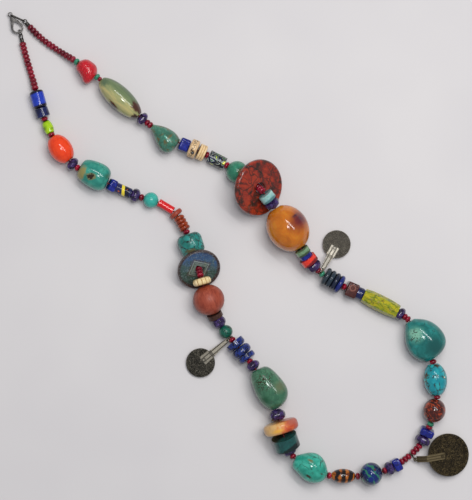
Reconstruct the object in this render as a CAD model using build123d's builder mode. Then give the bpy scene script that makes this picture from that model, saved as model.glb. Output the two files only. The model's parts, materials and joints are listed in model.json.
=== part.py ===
from build123d import *
import math
import os
from collections import namedtuple

# Dowry necklace: one long string of mixed beads that lies as a loop on a flat surface.
# Millimetres, +Z up, the surface at Z = 0, the clasp toward +Y and the front toward -Y.

os.makedirs("parts", exist_ok=True)

# Seed beads, which also gauge the string
seed_length = 2.4
seed_width = 4.0
spacer_length = 2.1
seeds_left = 12
seeds_right = 14

# Thread, and the play of the beads on it
thread_diameter = 0.8
bore_play = 0.3
bead_gap = 0.14
block_corner = 1.3
lean_spare = 1.15
neck_gap = 0.6
string_slope = 0.3
bend_length = 1.2
fitting_share = 0.978
lie_x = 12.605
lie_y = -9.792
rest_play = 0.1
bore_diameter = thread_diameter + 2 * bore_play

# Pierced discs that lie across the string
square_disc_diameter = 26.0
square_disc_thickness = 3.0
square_disc_hole = 5.8
square_disc_tilt = 34.0
square_disc_turn = 12.0
donut_diameter = 34.0
donut_thickness = 4.2
donut_hole = 6.2
donut_tilt = 38.0
donut_turn = 205.0

# Coins and their bails
coin_thickness = 1.4
coin_relief = 0.35
strap_thickness = 1.0
ring_wire = 0.7
ring_play = 0.15

# Clasp, crimps and links
clasp_length = 14.2
clasp_width = 7.2
clasp_tail_width = 2.4
clasp_turn = 15.0
clasp_thickness = 2.0
clasp_nose_thickness = 1.0
clasp_nose_play = 0.5
clasp_rim = 1.1
lever_thickness = 0.8
lever_play = 0.12
pin_diameter = 0.8
pin_play = 0.05
crimp_diameter = 2.4
crimp_length = 2.4
eye_wire = 0.6
eye_radius = 1.2
jump_wire = 0.7
jump_radius = 1.75
jump_lean = 25.0
link_wire = 0.8
link_width = 3.8
link_lean = 80.0

# The string's way over the surface, as few chosen points from the left crimp,
# round the front and back to the right crimp. The string's length scales it.
ROUTE = [
    (-13.3, 184), (-19.8, 172), (-26.8, 158), (-30.6, 151), (-37, 136), (-40.7, 122), (-41.2, 108.5),
    (-37.4, 97), (-33.2, 85.5), (-27.1, 71), (-22.1, 62.5), (-17.6, 54), (-17.6, 40), (-22.7, 26.7),
    (-29, 13.3), (-32.8, 6.4), (-37.6, -4), (-42.4, -18), (-43.8, -31), (-44.4, -41), (-45.5, -53),
    (-48.2, -68), (-55.2, -83), (-58.6, -90), (-64.6, -104), (-64.4, -118), (-58.2, -129), (-46.7, -141),
    (-34, -149.6), (-22, -154), (-13, -155.2), (-4.5, -154.2), (6.4, -150), (14.4, -146), (20.6, -141.3),
    (27.5, -133), (33.8, -124), (39.4, -111.6), (40.8, -95), (35.9, -77), (31, -65), (26.7, -55),
    (22, -39.6), (22, -28), (23.1, -20), (25.5, -4.5), (29, 11.3), (29.6, 24), (26.4, 41.5),
    (24.8, 48), (20.4, 60), (14.4, 74), (9.8, 85), (8.2, 96), (7.4, 102), (6.3, 120), (5.1, 137),
    (2.3, 153), (-0.6, 164), (-3, 175), (-3.7, 188.4),
]

UP = Vector(0, 0, 1)


class Seat:
    """Where one piece sits on the string: its middle, the thread's way and the loop's inner side."""

    def __init__(self, start, end):
        self.middle = (start + end) * 0.5
        self.along = (end - start).normalized()
        self.side = UP.cross(self.along).normalized()
        self.up = self.along.cross(self.side)
        self.axis = Axis(self.middle, self.along)
        self.outline = Plane(self.middle, x_dir=self.along, z_dir=self.side * -1)

    def across(self, offset=0.0):
        """Plane square to the thread, its X toward the loop's inside and its Y up."""
        return Plane(self.middle + self.along * offset, x_dir=self.side, z_dir=self.along)


def drill(seat, length):
    """Cut the thread's bore through the bead being built."""
    with BuildSketch(seat.across(-length)) as bore:
        Circle(bore_diameter / 2)
    extrude(bore.sketch, amount=2 * length, mode=Mode.SUBTRACT)


def oval(bead, seat):
    """Bead turned to an ellipse, cut flat at both ends."""
    radius = bead.width / 2
    end_radius = bead.end * radius
    start_angle = math.degrees(math.asin(bead.end))
    reach = bead.length / 2 / math.cos(math.radians(start_angle))
    with BuildPart() as stone:
        with BuildSketch(seat.outline) as section:
            with BuildLine():
                if reach > radius:
                    EllipticalCenterArc((0, 0), reach, radius, start_angle, arc_size=180 - 2 * start_angle)
                else:
                    ThreePointArc((bead.length / 2, end_radius), (0, radius), (-bead.length / 2, end_radius))
                Polyline(
                    (-bead.length / 2, end_radius),
                    (-bead.length / 2, 0),
                    (bead.length / 2, 0),
                    (bead.length / 2, end_radius),
                )
            make_face()
        revolve(section.sketch, axis=seat.axis)
        drill(seat, bead.length)
    return stone.part


def tube(bead, seat):
    """Straight round bead with softened rims, whose ends keep the share of the width in end."""
    radius = bead.width / 2
    rim = min(radius * (1 - bead.end), bead.length * 0.4)
    with BuildPart() as stone:
        with BuildSketch(seat.outline) as section:
            with Locations((0, radius / 2)):
                Rectangle(bead.length, radius)
            fillet(section.vertices().group_by(Axis(seat.middle, seat.up))[-1], rim)
        revolve(section.sketch, axis=seat.axis)
        drill(seat, bead.length)
    return stone.part


def ringed(bead, seat):
    """Round bead with ribs that run round it, one for each count."""
    radius = bead.width / 2
    pitch = bead.length / bead.count
    groove = radius * bead.end
    with BuildPart() as stone:
        with BuildSketch(seat.outline) as section:
            with BuildLine():
                for rib in range(bead.count):
                    start = -bead.length / 2 + rib * pitch
                    ThreePointArc((start, groove), (start + pitch / 2, radius), (start + pitch, groove))
                Polyline(
                    (bead.length / 2, groove),
                    (bead.length / 2, 0),
                    (-bead.length / 2, 0),
                    (-bead.length / 2, groove),
                )
            make_face()
        revolve(section.sketch, axis=seat.axis)
        drill(seat, bead.length)
    return stone.part


def melon(bead, seat):
    """Rounded disc with grooves from end to end, one for each count."""
    radius = bead.width / 2
    groove = math.pi * radius / bead.count * 0.45
    with BuildPart() as stone:
        add(ringed(bead._replace(count=1), seat))
        with BuildSketch(seat.across(-bead.length)) as grooves:
            with PolarLocations(radius + groove * 0.35, bead.count):
                Circle(groove)
        extrude(grooves.sketch, amount=2 * bead.length, mode=Mode.SUBTRACT)
    return stone.part


def faceted(bead, seat):
    """Cut bead: flat faces in rows, widest round the middle."""
    shoulder = 1 - (1 - bead.end) * 0.22
    rings = ((-0.5, bead.end), (-0.3, shoulder), (-0.1, 1), (0.1, 1), (0.3, shoulder), (0.5, bead.end))
    with BuildPart() as stone:
        for place, share in rings:
            with BuildSketch(seat.across(place * bead.length)):
                RegularPolygon(share * bead.width / 2, bead.count)
        loft(ruled=True)
        drill(seat, bead.length)
    return stone.part


def block(bead, seat):
    """Squared bead with rounded edges."""
    corner = bead.width * (1 - bead.end) / 2
    with BuildPart() as stone:
        with BuildSketch(seat.across(-bead.length / 2)) as face:
            RectangleRounded(bead.width, bead.width * bead.height, corner)
        extrude(face.sketch, amount=bead.length)
        ends = stone.faces().sort_by(seat.axis)
        fillet(ends[0].edges() + ends[-1].edges(), corner * 0.6)
        drill(seat, bead.length)
    return stone.part


# Sections of the uneven stones from the first end to the last, closer together toward
# the ends, as shares: width, height, and shift of the middle toward the loop's inside.
Cut = namedtuple("Cut", "width height shift")
CUTS = {
    "turquoise_block": (
        Cut(0.44, 0.44, 0.05), Cut(0.74, 0.74, 0.06), Cut(0.91, 0.94, 0.06), Cut(1.0, 1.0, 0.06),
        Cut(0.98, 0.98, 0.06), Cut(0.78, 0.76, 0.05), Cut(0.46, 0.44, 0.03),
    ),
    "turquoise_weathered": (
        Cut(0.52, 0.5, 0.0), Cut(0.84, 0.82, 0.0), Cut(1.0, 0.98, 0.0), Cut(0.99, 1.0, 0.0),
        Cut(0.95, 0.9, 0.01), Cut(0.78, 0.66, -0.01), Cut(0.46, 0.34, -0.02),
    ),
    "green_nugget": (
        Cut(0.36, 0.4, 0.06), Cut(0.64, 0.7, 0.08), Cut(0.85, 0.92, 0.1), Cut(0.98, 1.0, 0.13),
        Cut(0.94, 0.94, 0.15), Cut(0.64, 0.7, 0.12), Cut(0.34, 0.38, 0.07),
    ),
    "turquoise_pebble": (
        Cut(0.32, 0.36, -0.03), Cut(0.52, 0.58, -0.05), Cut(0.79, 0.84, 0.0), Cut(1.0, 1.0, 0.01),
        Cut(0.88, 0.9, -0.02), Cut(0.54, 0.6, -0.05), Cut(0.3, 0.34, -0.04),
    ),
    "turquoise_heart": (
        Cut(0.32, 0.34, -0.03), Cut(0.64, 0.64, -0.07), Cut(0.94, 0.92, -0.09), Cut(0.98, 1.0, -0.08),
        Cut(0.78, 0.86, -0.07), Cut(0.44, 0.54, -0.03), Cut(0.26, 0.32, 0.0),
    ),
    "teardrop": (
        Cut(0.46, 0.46, 0.1), Cut(0.74, 0.76, 0.18), Cut(0.97, 0.98, 0.2), Cut(0.9, 0.94, 0.15),
        Cut(0.6, 0.68, 0.06), Cut(0.32, 0.38, 0.01), Cut(0.24, 0.28, 0.0),
    ),
    "coral_nugget": (
        Cut(0.4, 0.42, 0.1), Cut(0.76, 0.76, 0.15), Cut(0.97, 0.98, 0.1), Cut(0.88, 1.0, 0.02),
        Cut(0.76, 0.9, -0.01), Cut(0.54, 0.62, 0.02), Cut(0.34, 0.38, 0.02),
    ),
}


def pebble(bead, seat):
    """Uneven stone lofted through its own sections."""
    cuts = CUTS[bead.node]
    with BuildPart() as stone:
        for step, cut in enumerate(cuts):
            place = -math.cos(math.pi * step / (len(cuts) - 1)) / 2
            with BuildSketch(seat.across(place * bead.length)):
                with Locations((cut.shift * bead.width, 0)):
                    Ellipse(cut.width * bead.width / 2, cut.height * bead.height * bead.width / 2)
        loft()
        split(bisect_by=seat.across(-bead.length / 2), keep=Keep.TOP)
        split(bisect_by=seat.across(bead.length / 2), keep=Keep.BOTTOM)
        drill(seat, bead.length)
    return stone.part


# One row for each bead in the order of threading. Height and end are shares of the width,
# climb is the slope in degrees where the string climbs through a disc, TIPPED marks a bead
# that leans between its neighbours, and wears names the disc whose hole the bead fills.
Bead = namedtuple("Bead", "node form length width height end count climb wears")
Bead.__new__.__defaults__ = (1.0, 0.5, 1, None, None)
TIPPED = "tipped"
SEED = Bead("red_seeds", oval, spacer_length, seed_width)
LOOSE_SEED = SEED._replace(length=seed_length)
GREEN_SEED = SEED._replace(node="green_seeds")
RING_SPACE = Bead("ring_space", None, ring_wire + 2 * ring_play, seed_width)
AMETHYST = Bead("amethyst_beads", faceted, 4.4, 7.8, 1, 0.55, 10)
COBALT = Bead("cobalt_beads", block, 4.4, 7.4, 1, 0.6)

STRING = [
    Bead("blue_tube", tube, 11, 8.4, 1, 0.66),
    Bead("navy_beads", tube, 5.4, 8.2, 1, 0.5),
    SEED,
    Bead("lime_barrel", oval, 8.3, 6.2, 1, 0.7),
    SEED,
    Bead("coral_barrel", oval, 17.5, 13.8, 1, 0.45),
    AMETHYST,
    SEED,
    Bead("turquoise_block", pebble, 18.8, 16.2, 0.9),
    COBALT,
    Bead("trade_tube", tube, 9.8, 6.3, 1, 0.75),
    AMETHYST._replace(length=5),
    SEED,
    Bead("turquoise_round", oval, 8.8, 9.4, 1, 0.3),
    Bead("coral_tube", tube, 10.4, 4.8, 1, 0.8),
    Bead("brick_disc", tube, 2.9, 8.4, 1, 0.7),
    Bead("carnelian_ribbed", ringed, 9.4, 6.8, 1, 0.76, 4),
    SEED,
    Bead("turquoise_weathered", pebble, 13.9, 15.0, 0.88),
    SEED,
    SEED,
    SEED._replace(climb=20),
    SEED._replace(climb=40, wears="slate_disc"),
    SEED._replace(climb=40),
    SEED._replace(climb=30),
    Bead("bone_melon", melon, 4.5, 11.2, 1, 0.62, 12, 2),
    Bead("wood_round", oval, 18, 18.9, 1, 0.24, 1, TIPPED),
    Bead("bronze_disc", tube, 2.9, 9.3, 1, 0.62),
    AMETHYST._replace(length=6),
    Bead("malachite_round", oval, 7.6, 8.3, 1, 0.3),
    RING_SPACE,
    SEED,
    Bead("lapis_discs", tube, 4.4, 11.4, 1, 0.66),
    Bead("lapis_discs", tube, 5.4, 12.0, 1, 0.62),
    Bead("lapis_discs", tube, 3.2, 11.0, 1, 0.7),
    SEED,
    AMETHYST,
    Bead("green_nugget", pebble, 26.4, 18.6, 0.94),
    AMETHYST._replace(length=6.2, width=9.0),
    Bead("agate_disc", tube, 7, 21.0, 1, 0.76),
    Bead("teal_cylinder", tube, 8, 15.4, 1, 0.8),
    AMETHYST._replace(length=3.8),
    SEED,
    Bead("turquoise_pebble", pebble, 21.6, 17.4, 0.92),
    SEED,
    Bead("tiger_oval", oval, 14.6, 8.7, 1, 0.35),
    SEED,
    Bead("swirl_glass", oval, 13.2, 13.8, 1, 0.28),
    SEED,
    AMETHYST,
    COBALT._replace(length=4.8, width=7.8),
    LOOSE_SEED,
    LOOSE_SEED,
    LOOSE_SEED,
    RING_SPACE,
    LOOSE_SEED,
    LOOSE_SEED,
    LOOSE_SEED,
    AMETHYST._replace(length=5.2, width=8.8),
    COBALT._replace(width=8.6),
    SEED,
    GREEN_SEED,
    Bead("jasper_oval", oval, 14, 13.6, 1, 0.34),
    SEED,
    Bead("turquoise_oval", oval, 19.1, 14.1, 1, 0.4),
    SEED,
    Bead("turquoise_heart", pebble, 26.8, 23.4, 0.74),
    SEED,
    SEED,
    AMETHYST._replace(length=4, width=7.2),
    Bead("yellow_tube", faceted, 22.0, 9.4, 1, 0.84, 8),
    Bead("navy_beads", tube, 4.7, 7.5, 1, 0.5),
    Bead("cube_bead", block, 7, 9.0, 1, 0.72),
    SEED,
    Bead("navy_coil", ringed, 12.6, 11.6, 1, 0.74, 4),
    GREEN_SEED,
    RING_SPACE,
    SEED,
    AMETHYST._replace(length=5.2, width=8.4),
    Bead("coral_disc", tube, 4.2, 10.2, 1, 0.6),
    Bead("cobalt_beads", tube, 2.6, 7.8, 1, 0.6),
    Bead("olive_disc", tube, 3.4, 8.7, 1, 0.6),
    Bead("amber_oval", oval, 28.4, 24.6, 1, 0.3),
    AMETHYST._replace(length=4.8, width=8.4, climb=27),
    Bead("aqua_cylinder", tube, 4.6, 9.0, 1, 0.76, 1, 18),
    SEED._replace(climb=-42),
    SEED._replace(climb=-54),
    SEED._replace(climb=-52, wears="jasper_donut"),
    SEED._replace(climb=-26),
    SEED._replace(climb=-18),
    SEED._replace(climb=-14),
    SEED._replace(climb=-10),
    Bead("green_round", oval, 12.4, 13.2, 1, 0.3, 1, TIPPED),
    SEED,
    Bead("mosaic_tube", tube, 10.8, 7.8, 1, 0.74),
    SEED,
    Bead("bone_stack", ringed, 4.4, 10.2, 1, 0.84, 3),
    Bead("bone_printed", tube, 5, 11.4, 1, 0.8),
    COBALT._replace(length=6, width=7.8),
    Bead("teardrop", pebble, 18.7, 14.0, 0.96),
    SEED,
    SEED,
    AMETHYST._replace(length=4.2, width=7.5),
    Bead("agate_barrel", oval, 31.4, 13.8, 1, 0.36),
    SEED._replace(length=1.8, width=2.8),
    GREEN_SEED,
    Bead("coral_nugget", pebble, 12.8, 12.8, 0.92),
    GREEN_SEED,
]
STRING = [bead._replace(length=bead.length * fitting_share) for bead in STRING]

# A disc across the string: the turn is how far its downhill side swings from the string's way.
Disc = namedtuple("Disc", "diameter thickness tilt turn")
DISCS = {
    "slate_disc": Disc(square_disc_diameter, square_disc_thickness, square_disc_tilt, square_disc_turn),
    "jasper_donut": Disc(donut_diameter, donut_thickness, donut_tilt, donut_turn),
}


def disc_height(disc):
    """Height of a tilted disc's middle when its low rim touches the surface."""
    lean = math.radians(disc.tilt)
    return disc.diameter / 2 * math.sin(lean) + disc.thickness / 2 * math.cos(lean)


def half_height(bead):
    return bead.width * bead.height / 2


def lean_room(bead, turn):
    """How far a bead's end comes past its flat face when its neighbour turns by this angle."""
    angle = math.radians(turn)
    if bead.form is None:
        return bead.width / 2 * math.sin(angle)
    radius = bead.width / 2
    face = radius * bead.end
    if bead.form in (block, pebble):
        return face * block_corner * math.sin(angle)
    if bead.form is oval:
        start = math.asin(bead.end)
        reach = bead.length / 2 / math.cos(start)
        if reach <= radius:
            rise = radius - face
            arc_radius = ((bead.length / 2) ** 2 + rise**2) / (2 * rise)
            return arc_radius + (radius - arc_radius) * math.sin(angle) - bead.length / 2 * math.cos(angle)
        if math.atan(math.tan(angle) * radius / reach) > start:
            support = math.hypot(reach * math.cos(angle), radius * math.sin(angle))
            return support - bead.length / 2 * math.cos(angle)
        return face * math.sin(angle)
    rim = min(radius - face, bead.length * 0.4)
    return face * math.sin(angle) + rim * (1 - math.cos(angle))


def joint_heights(pitches):
    """Thread height at each joint: a bead's own half height over it, falling away beside it."""
    places = [0.0]
    for pitch in pitches:
        places.append(places[-1] + pitch)
    rises = {}
    for row, bead in enumerate(STRING):
        if bead.climb not in (None, TIPPED):
            rises[row] = pitches[row] * math.sin(math.radians(bead.climb))
    pegs = {}
    ends = []
    for row, bead in enumerate(STRING):
        if bead.wears:
            first = row
            pegs[row] = disc_height(DISCS[bead.wears]) - rises[row] / 2
            while first - 1 in rises:
                first -= 1
                pegs[first] = pegs[first + 1] - rises[first]
            last = row
            pegs[row + 1] = pegs[row] + rises[row]
            while last + 1 in rises:
                last += 1
                pegs[last + 1] = pegs[last] + rises[last]
            if STRING[last + 1].climb == TIPPED:
                last += 1
                pegs[last + 1] = 2 * half_height(STRING[last]) - pegs[last]
            ends.append((places[first], pegs[first], -1))
            ends.append((places[last + 1], pegs[last + 1], 1))

    def resting_height(place):
        heights = [seed_width / 2]
        for row, bead in enumerate(STRING):
            if bead.climb is None:
                away = max(places[row] - place, place - places[row + 1], 0)
                heights.append(half_height(bead) - string_slope * away)
        for end_place, end_height, outward in ends:
            away = (place - end_place) * outward
            if away >= 0:
                heights.append(end_height - string_slope * away)
        return max(heights)

    return [pegs.get(row, resting_height(place)) for row, place in enumerate(places)]


def lay_string():
    """Place every joint of the string along the route, widening the gaps where the string turns."""
    with BuildLine() as way:
        Spline(*ROUTE)
    route = way.line.edge()
    gaps = [bead_gap] * (len(STRING) + 1)
    pitch_seed = seed_length + bead_gap
    extras = [0.0] * len(STRING)
    for _ in range(6):
        pitches = [bead.length + (gaps[row] + gaps[row + 1]) / 2 for row, bead in enumerate(STRING)]
        heights = [height + rest_play for height in joint_heights(pitches)]
        runs = []
        for row, pitch in enumerate(pitches):
            rise = heights[row + 1] - heights[row]
            runs.append(math.sqrt(pitch**2 - rise**2))
        neck_left = seeds_left * pitch_seed
        neck_right = seeds_right * pitch_seed
        scale = (neck_left + sum(runs) + sum(extras) + neck_right) / route.length
        marks = [neck_left]
        for run, extra in zip(runs, extras):
            marks.append(marks[-1] + run + extra)

        def spot(mark, height):
            flat = route.position_at(mark / scale, position_mode=PositionMode.LENGTH) * scale
            return Vector(flat.X + lie_x, flat.Y + lie_y, height)

        joints = [spot(mark, height) for mark, height in zip(marks, heights)]
        for row, run in enumerate(runs):
            chord = joints[row + 1] - joints[row]
            extras[row] += run - math.hypot(chord.X, chord.Y)
        for row in range(1, len(STRING)):
            turn = (joints[row + 1] - joints[row]).get_angle(joints[row] - joints[row - 1])
            needs = []
            for split in (0, turn / 4, turn / 2, turn * 3 / 4, turn):
                lean = lean_room(STRING[row - 1], split) + lean_room(STRING[row], turn - split)
                slant = math.cos(math.radians(split)) + math.cos(math.radians(turn - split))
                needs.append(2 * lean / slant)
            gaps[row] = bead_gap + lean_spare * min(needs)
    neck_height = seed_width / 2
    left = []
    for step in range(6):
        mark = (neck_left - neck_gap) * step / 5
        left.append(spot(mark, max(neck_height, heights[0] - string_slope * (neck_left - mark))))
    right = []
    for step in range(7):
        away = neck_gap + (neck_right - neck_gap) * step / 6
        right.append(spot(marks[-1] + away, max(neck_height, heights[-1] - string_slope * away)))
    return joints, gaps, left, right, scale


joints, gaps, left_points, right_points, route_scale = lay_string()
print("string of", len(STRING), "rows, route scale", round(route_scale, 3))

seats = []
for row, bead in enumerate(STRING):
    along = (joints[row + 1] - joints[row]).normalized()
    start = joints[row] + along * (gaps[row] / 2)
    seats.append(Seat(start, start + along * bead.length))


def save(part, label):
    """Label a finished piece and write it under its own name."""
    part.label = label
    export_step(part, f"parts/{label}.step")


# Beads: one node for each name, with the repeats of a kind together in theirs
for node in dict.fromkeys(bead.node for bead in STRING if bead.form):
    with BuildPart() as strung:
        for bead, seat in zip(STRING, seats):
            if bead.node == node:
                add(bead.form(bead, seat))
    save(strung.part, node)


def disc_plane(name):
    """Middle plane of a disc on its bead, its X across the slope and its Y uphill."""
    disc = DISCS[name]
    row = [bead.wears for bead in STRING].index(name)
    seat = seats[row]
    heading = Vector(seat.along.X, seat.along.Y, 0).rotate(Axis.Z, disc.turn)
    slope = math.radians(disc.tilt)
    normal = heading.normalized() * math.sin(slope) + UP * math.cos(slope)
    across = UP.cross(heading).normalized()
    middle = Vector(seat.middle.X, seat.middle.Y, disc_height(disc))
    return Plane(middle, x_dir=across, z_dir=normal)


# Slate disc: a flat ring with a square hole set cornerwise in a raised frame
slate_plane = disc_plane("slate_disc")
with BuildPart() as slate_disc:
    with BuildSketch(slate_plane.offset(-square_disc_thickness / 2)):
        Circle(square_disc_diameter / 2)
    extrude(amount=square_disc_thickness)
    chamfer(slate_disc.edges().filter_by(GeomType.CIRCLE), square_disc_thickness * 0.2)
    with BuildSketch(slate_plane.offset(-square_disc_thickness)):
        Rectangle(square_disc_hole, square_disc_hole, rotation=45)
    extrude(amount=2 * square_disc_thickness, mode=Mode.SUBTRACT)
save(slate_disc.part, "slate_disc")

# Jasper donut: a thick ring with rounded rims
donut_plane = disc_plane("jasper_donut")
donut_rim = donut_thickness * 0.42
with BuildPart() as jasper_donut:
    with BuildSketch(donut_plane.offset(-donut_thickness / 2)):
        Circle(donut_diameter / 2)
        Circle(donut_hole / 2, mode=Mode.SUBTRACT)
    extrude(amount=donut_thickness)
    rims = jasper_donut.edges().filter_by(GeomType.CIRCLE).group_by(SortBy.LENGTH)
    fillet(rims[-1], donut_rim)
    fillet(rims[0], donut_rim * 0.5)
save(jasper_donut.part, "jasper_donut")


def tube_radii(points, longest=math.inf):
    """Radius of each corner's arc: 0.45 of the shorter run, and no longer than asked."""
    radii = []
    for before, corner, after in zip(points, points[1:], points[2:]):
        half_turn = math.radians((after - corner).get_angle(corner - before) / 2)
        shorter = min((corner - before).length, (after - corner).length)
        radii.append(min(0.45 * shorter, longest) / math.tan(half_turn))
    return radii


def round_tube(points, diameter, longest=math.inf):
    """Round bar along straight runs joined by tangent arcs."""
    radii = tube_radii(points, longest)
    with BuildPart() as bar:
        with BuildLine() as path:
            FilletPolyline(*points, radius=radii)
        with BuildSketch(Plane(path.line @ 0, z_dir=path.line % 0)):
            Circle(diameter / 2)
        sweep(path=path.line)
    path_length = sum(edge.length for edge in path.line.edges())
    fill = bar.part.volume / (math.pi * diameter**2 / 4 * path_length)
    print("tube fill", round(fill, 3), "radii", [round(radius, 1) for radius in radii])
    return bar.part


def bent_points(points, least_turn=0.6):
    """The points without those where the run hardly turns."""
    kept = [points[0]]
    for corner, after in zip(points[1:], points[2:]):
        if (after - corner).get_angle(corner - kept[-1]) > least_turn:
            kept.append(corner)
    return kept + [points[-1]]


# Thread through every bore, and the two lengths of seed beads behind the neck
save(round_tube(bent_points(joints), thread_diameter, bend_length), "thread")
save(round_tube(bent_points(left_points), seed_width), "neck_seeds_left")
save(round_tube(bent_points(right_points), seed_width), "neck_seeds_right")


def wire_ring(middle, normal, radius, wire):
    """Closed ring of round wire."""
    radial = Plane(middle, z_dir=normal).x_dir
    with BuildPart() as hoop:
        section_plane = Plane(middle + radial * radius, x_dir=radial, z_dir=normal.cross(radial))
        with BuildSketch(section_plane) as wire_section:
            Circle(wire / 2)
        revolve(wire_section.sketch, axis=Axis(middle, normal))
    return hoop.part


def level(vector):
    return Vector(vector.X, vector.Y, 0).normalized()


# Crimps: a tube on each end of the string with an eye soldered to it
eye_reach = eye_radius + eye_wire / 2
eye_sink = eye_wire / 3
eye_hole = eye_radius - eye_wire / 2
left_end = left_points[0]
right_end = right_points[-1]
left_out = level(left_points[0] - left_points[1])
right_out = level(right_points[-1] - right_points[-2])
left_side = UP.cross(left_out)
jump_slope = math.radians(jump_lean)
jump_across = UP * math.cos(jump_slope) + left_side * math.sin(jump_slope)
left_eye = left_end + left_out * (crimp_length + eye_reach - eye_sink)
right_eye = right_end + right_out * (crimp_length + eye_reach - eye_sink)
with BuildPart() as crimps:
    for end, out, eye, normal in (
        (left_end, left_out, left_eye, jump_across),
        (right_end, right_out, right_eye, UP),
    ):
        with BuildSketch(Plane(end, z_dir=out)) as crimp_face:
            Circle(crimp_diameter / 2)
        extrude(crimp_face.sketch, amount=crimp_length)
        add(wire_ring(eye, normal, eye_radius, eye_wire))
save(crimps.part, "crimps")

# Jump ring: through the left eye and over the clasp's nose
jump_middle = left_eye + left_out * (eye_hole - jump_wire / 2 - ring_play / 2 + jump_radius)
save(wire_ring(jump_middle, left_out.cross(jump_across), jump_radius, jump_wire), "jump_ring")

# Clasp: a flat lobster clasp seen from above, its X from the tail to the nose
clasp_out = left_out.rotate(Axis.Z, clasp_turn)
nose_inside = jump_middle + clasp_out * (jump_radius - jump_wire / 2 - clasp_nose_play)
clasp_tail = nose_inside + clasp_out * (clasp_length - clasp_rim)
clasp_plane = Plane(clasp_tail, x_dir=clasp_out * -1, z_dir=UP)
nose_middle = clasp_length - clasp_width / 2
neck_middle = 2 * eye_reach - eye_sink + clasp_tail_width / 2
pivot_place = neck_middle + clasp_tail_width * 0.53
pivot_side = clasp_tail_width * 0.3
root_radius = clasp_tail_width * 0.42
gate_start = pivot_place + root_radius + 0.2
gate_end = nose_middle + clasp_width * 0.18
gate_side = clasp_width * 0.13
lever_reach = gate_end - pivot_place - lever_play / 2
slot_height = lever_thickness + 2 * lever_play


def clasp_outline(width, tail_width, tail_place):
    """Pear outline: two circles and the straight flanks between them."""
    with BuildSketch(clasp_plane) as pear:
        with Locations((nose_middle, 0)):
            Circle(width / 2)
        with Locations((tail_place, 0)):
            Circle(tail_width / 2)
        make_hull()
    return pear.sketch


outer_pear = clasp_outline(clasp_width, clasp_tail_width, neck_middle)
inner_pear = clasp_outline(
    clasp_width - 2 * clasp_rim,
    clasp_tail_width - clasp_rim / 2,
    gate_start + root_radius,
)
clasp_eye = clasp_tail - clasp_out * eye_reach
with BuildPart() as clasp_body:
    extrude(outer_pear, amount=clasp_thickness / 2, both=True)
    clasp_rims = clasp_body.edges().group_by(Axis.Z)
    fillet(clasp_rims[0] + clasp_rims[-1], clasp_thickness * 0.2)
    extrude(inner_pear, amount=clasp_thickness, both=True, mode=Mode.SUBTRACT)
    # The gate that the lever closes
    with BuildSketch(clasp_plane) as gate:
        with Locations((gate_start, gate_side)):
            Rectangle(gate_end - gate_start, clasp_width, align=(Align.MIN, Align.MIN))
    extrude(gate.sketch, amount=clasp_thickness, both=True, mode=Mode.SUBTRACT)
    # The thinner nose, which the jump ring goes round
    for step in (-1, 1):
        with BuildSketch(clasp_plane.offset(step * clasp_nose_thickness / 2)) as shaving:
            with Locations((gate_end, 0)):
                Rectangle(clasp_width, 2 * clasp_width, align=(Align.MIN, Align.CENTER))
        extrude(shaving.sketch, amount=step * clasp_thickness, mode=Mode.SUBTRACT)
    # The slot for the lever's root, and the pin across it
    with BuildSketch(clasp_plane) as slot:
        with Locations((pivot_place, pivot_side)):
            Circle(root_radius + lever_play)
            Rectangle(clasp_width, 2 * root_radius + 2 * lever_play, align=(Align.MIN, Align.CENTER))
        with Locations((pivot_place, pivot_side)):
            Rectangle(clasp_width, clasp_width, align=(Align.MIN, Align.MIN))
        with Locations((gate_start + root_radius, 0)):
            Rectangle(2 * clasp_width, 4 * clasp_width, align=(Align.MIN, Align.CENTER), mode=Mode.SUBTRACT)
    extrude(slot.sketch, amount=slot_height / 2, both=True, mode=Mode.SUBTRACT)
    with BuildSketch(clasp_plane) as pin:
        with Locations((pivot_place, pivot_side)):
            Circle(pin_diameter / 2)
    extrude(pin.sketch, amount=clasp_thickness / 2, both=True)
    add(wire_ring(clasp_eye, UP, eye_radius, eye_wire))
save(clasp_body.part, "clasp_body")

# Lever: the arm that closes the gate, on the pin, with a thumb stud
with BuildPart() as clasp_lever:
    extrude(outer_pear, amount=lever_thickness / 2, both=True)
    extrude(inner_pear, amount=lever_thickness, both=True, mode=Mode.SUBTRACT)
    with BuildSketch(clasp_plane) as arm_side:
        with Locations((pivot_place, gate_side + lever_play)):
            Rectangle(clasp_width, clasp_width, align=(Align.MIN, Align.MIN))
    extrude(arm_side.sketch, amount=lever_thickness, both=True, mode=Mode.INTERSECT)
    with BuildSketch(clasp_plane) as arm_reach:
        with Locations((pivot_place, pivot_side)):
            Circle(lever_reach)
    extrude(arm_reach.sketch, amount=lever_thickness, both=True, mode=Mode.INTERSECT)
    with BuildSketch(clasp_plane) as root_and_stud:
        with Locations((pivot_place, pivot_side)):
            Circle(root_radius)
        with Locations((gate_start + clasp_tail_width * 0.3, clasp_width * 0.31)):
            Circle(clasp_rim * 0.5)
    extrude(root_and_stud.sketch, amount=lever_thickness / 2, both=True)
    with BuildSketch(clasp_plane) as bore:
        with Locations((pivot_place, pivot_side)):
            Circle(pin_diameter / 2 + pin_play)
    extrude(bore.sketch, amount=lever_thickness, both=True, mode=Mode.SUBTRACT)
save(clasp_lever.part, "clasp_lever")

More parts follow.
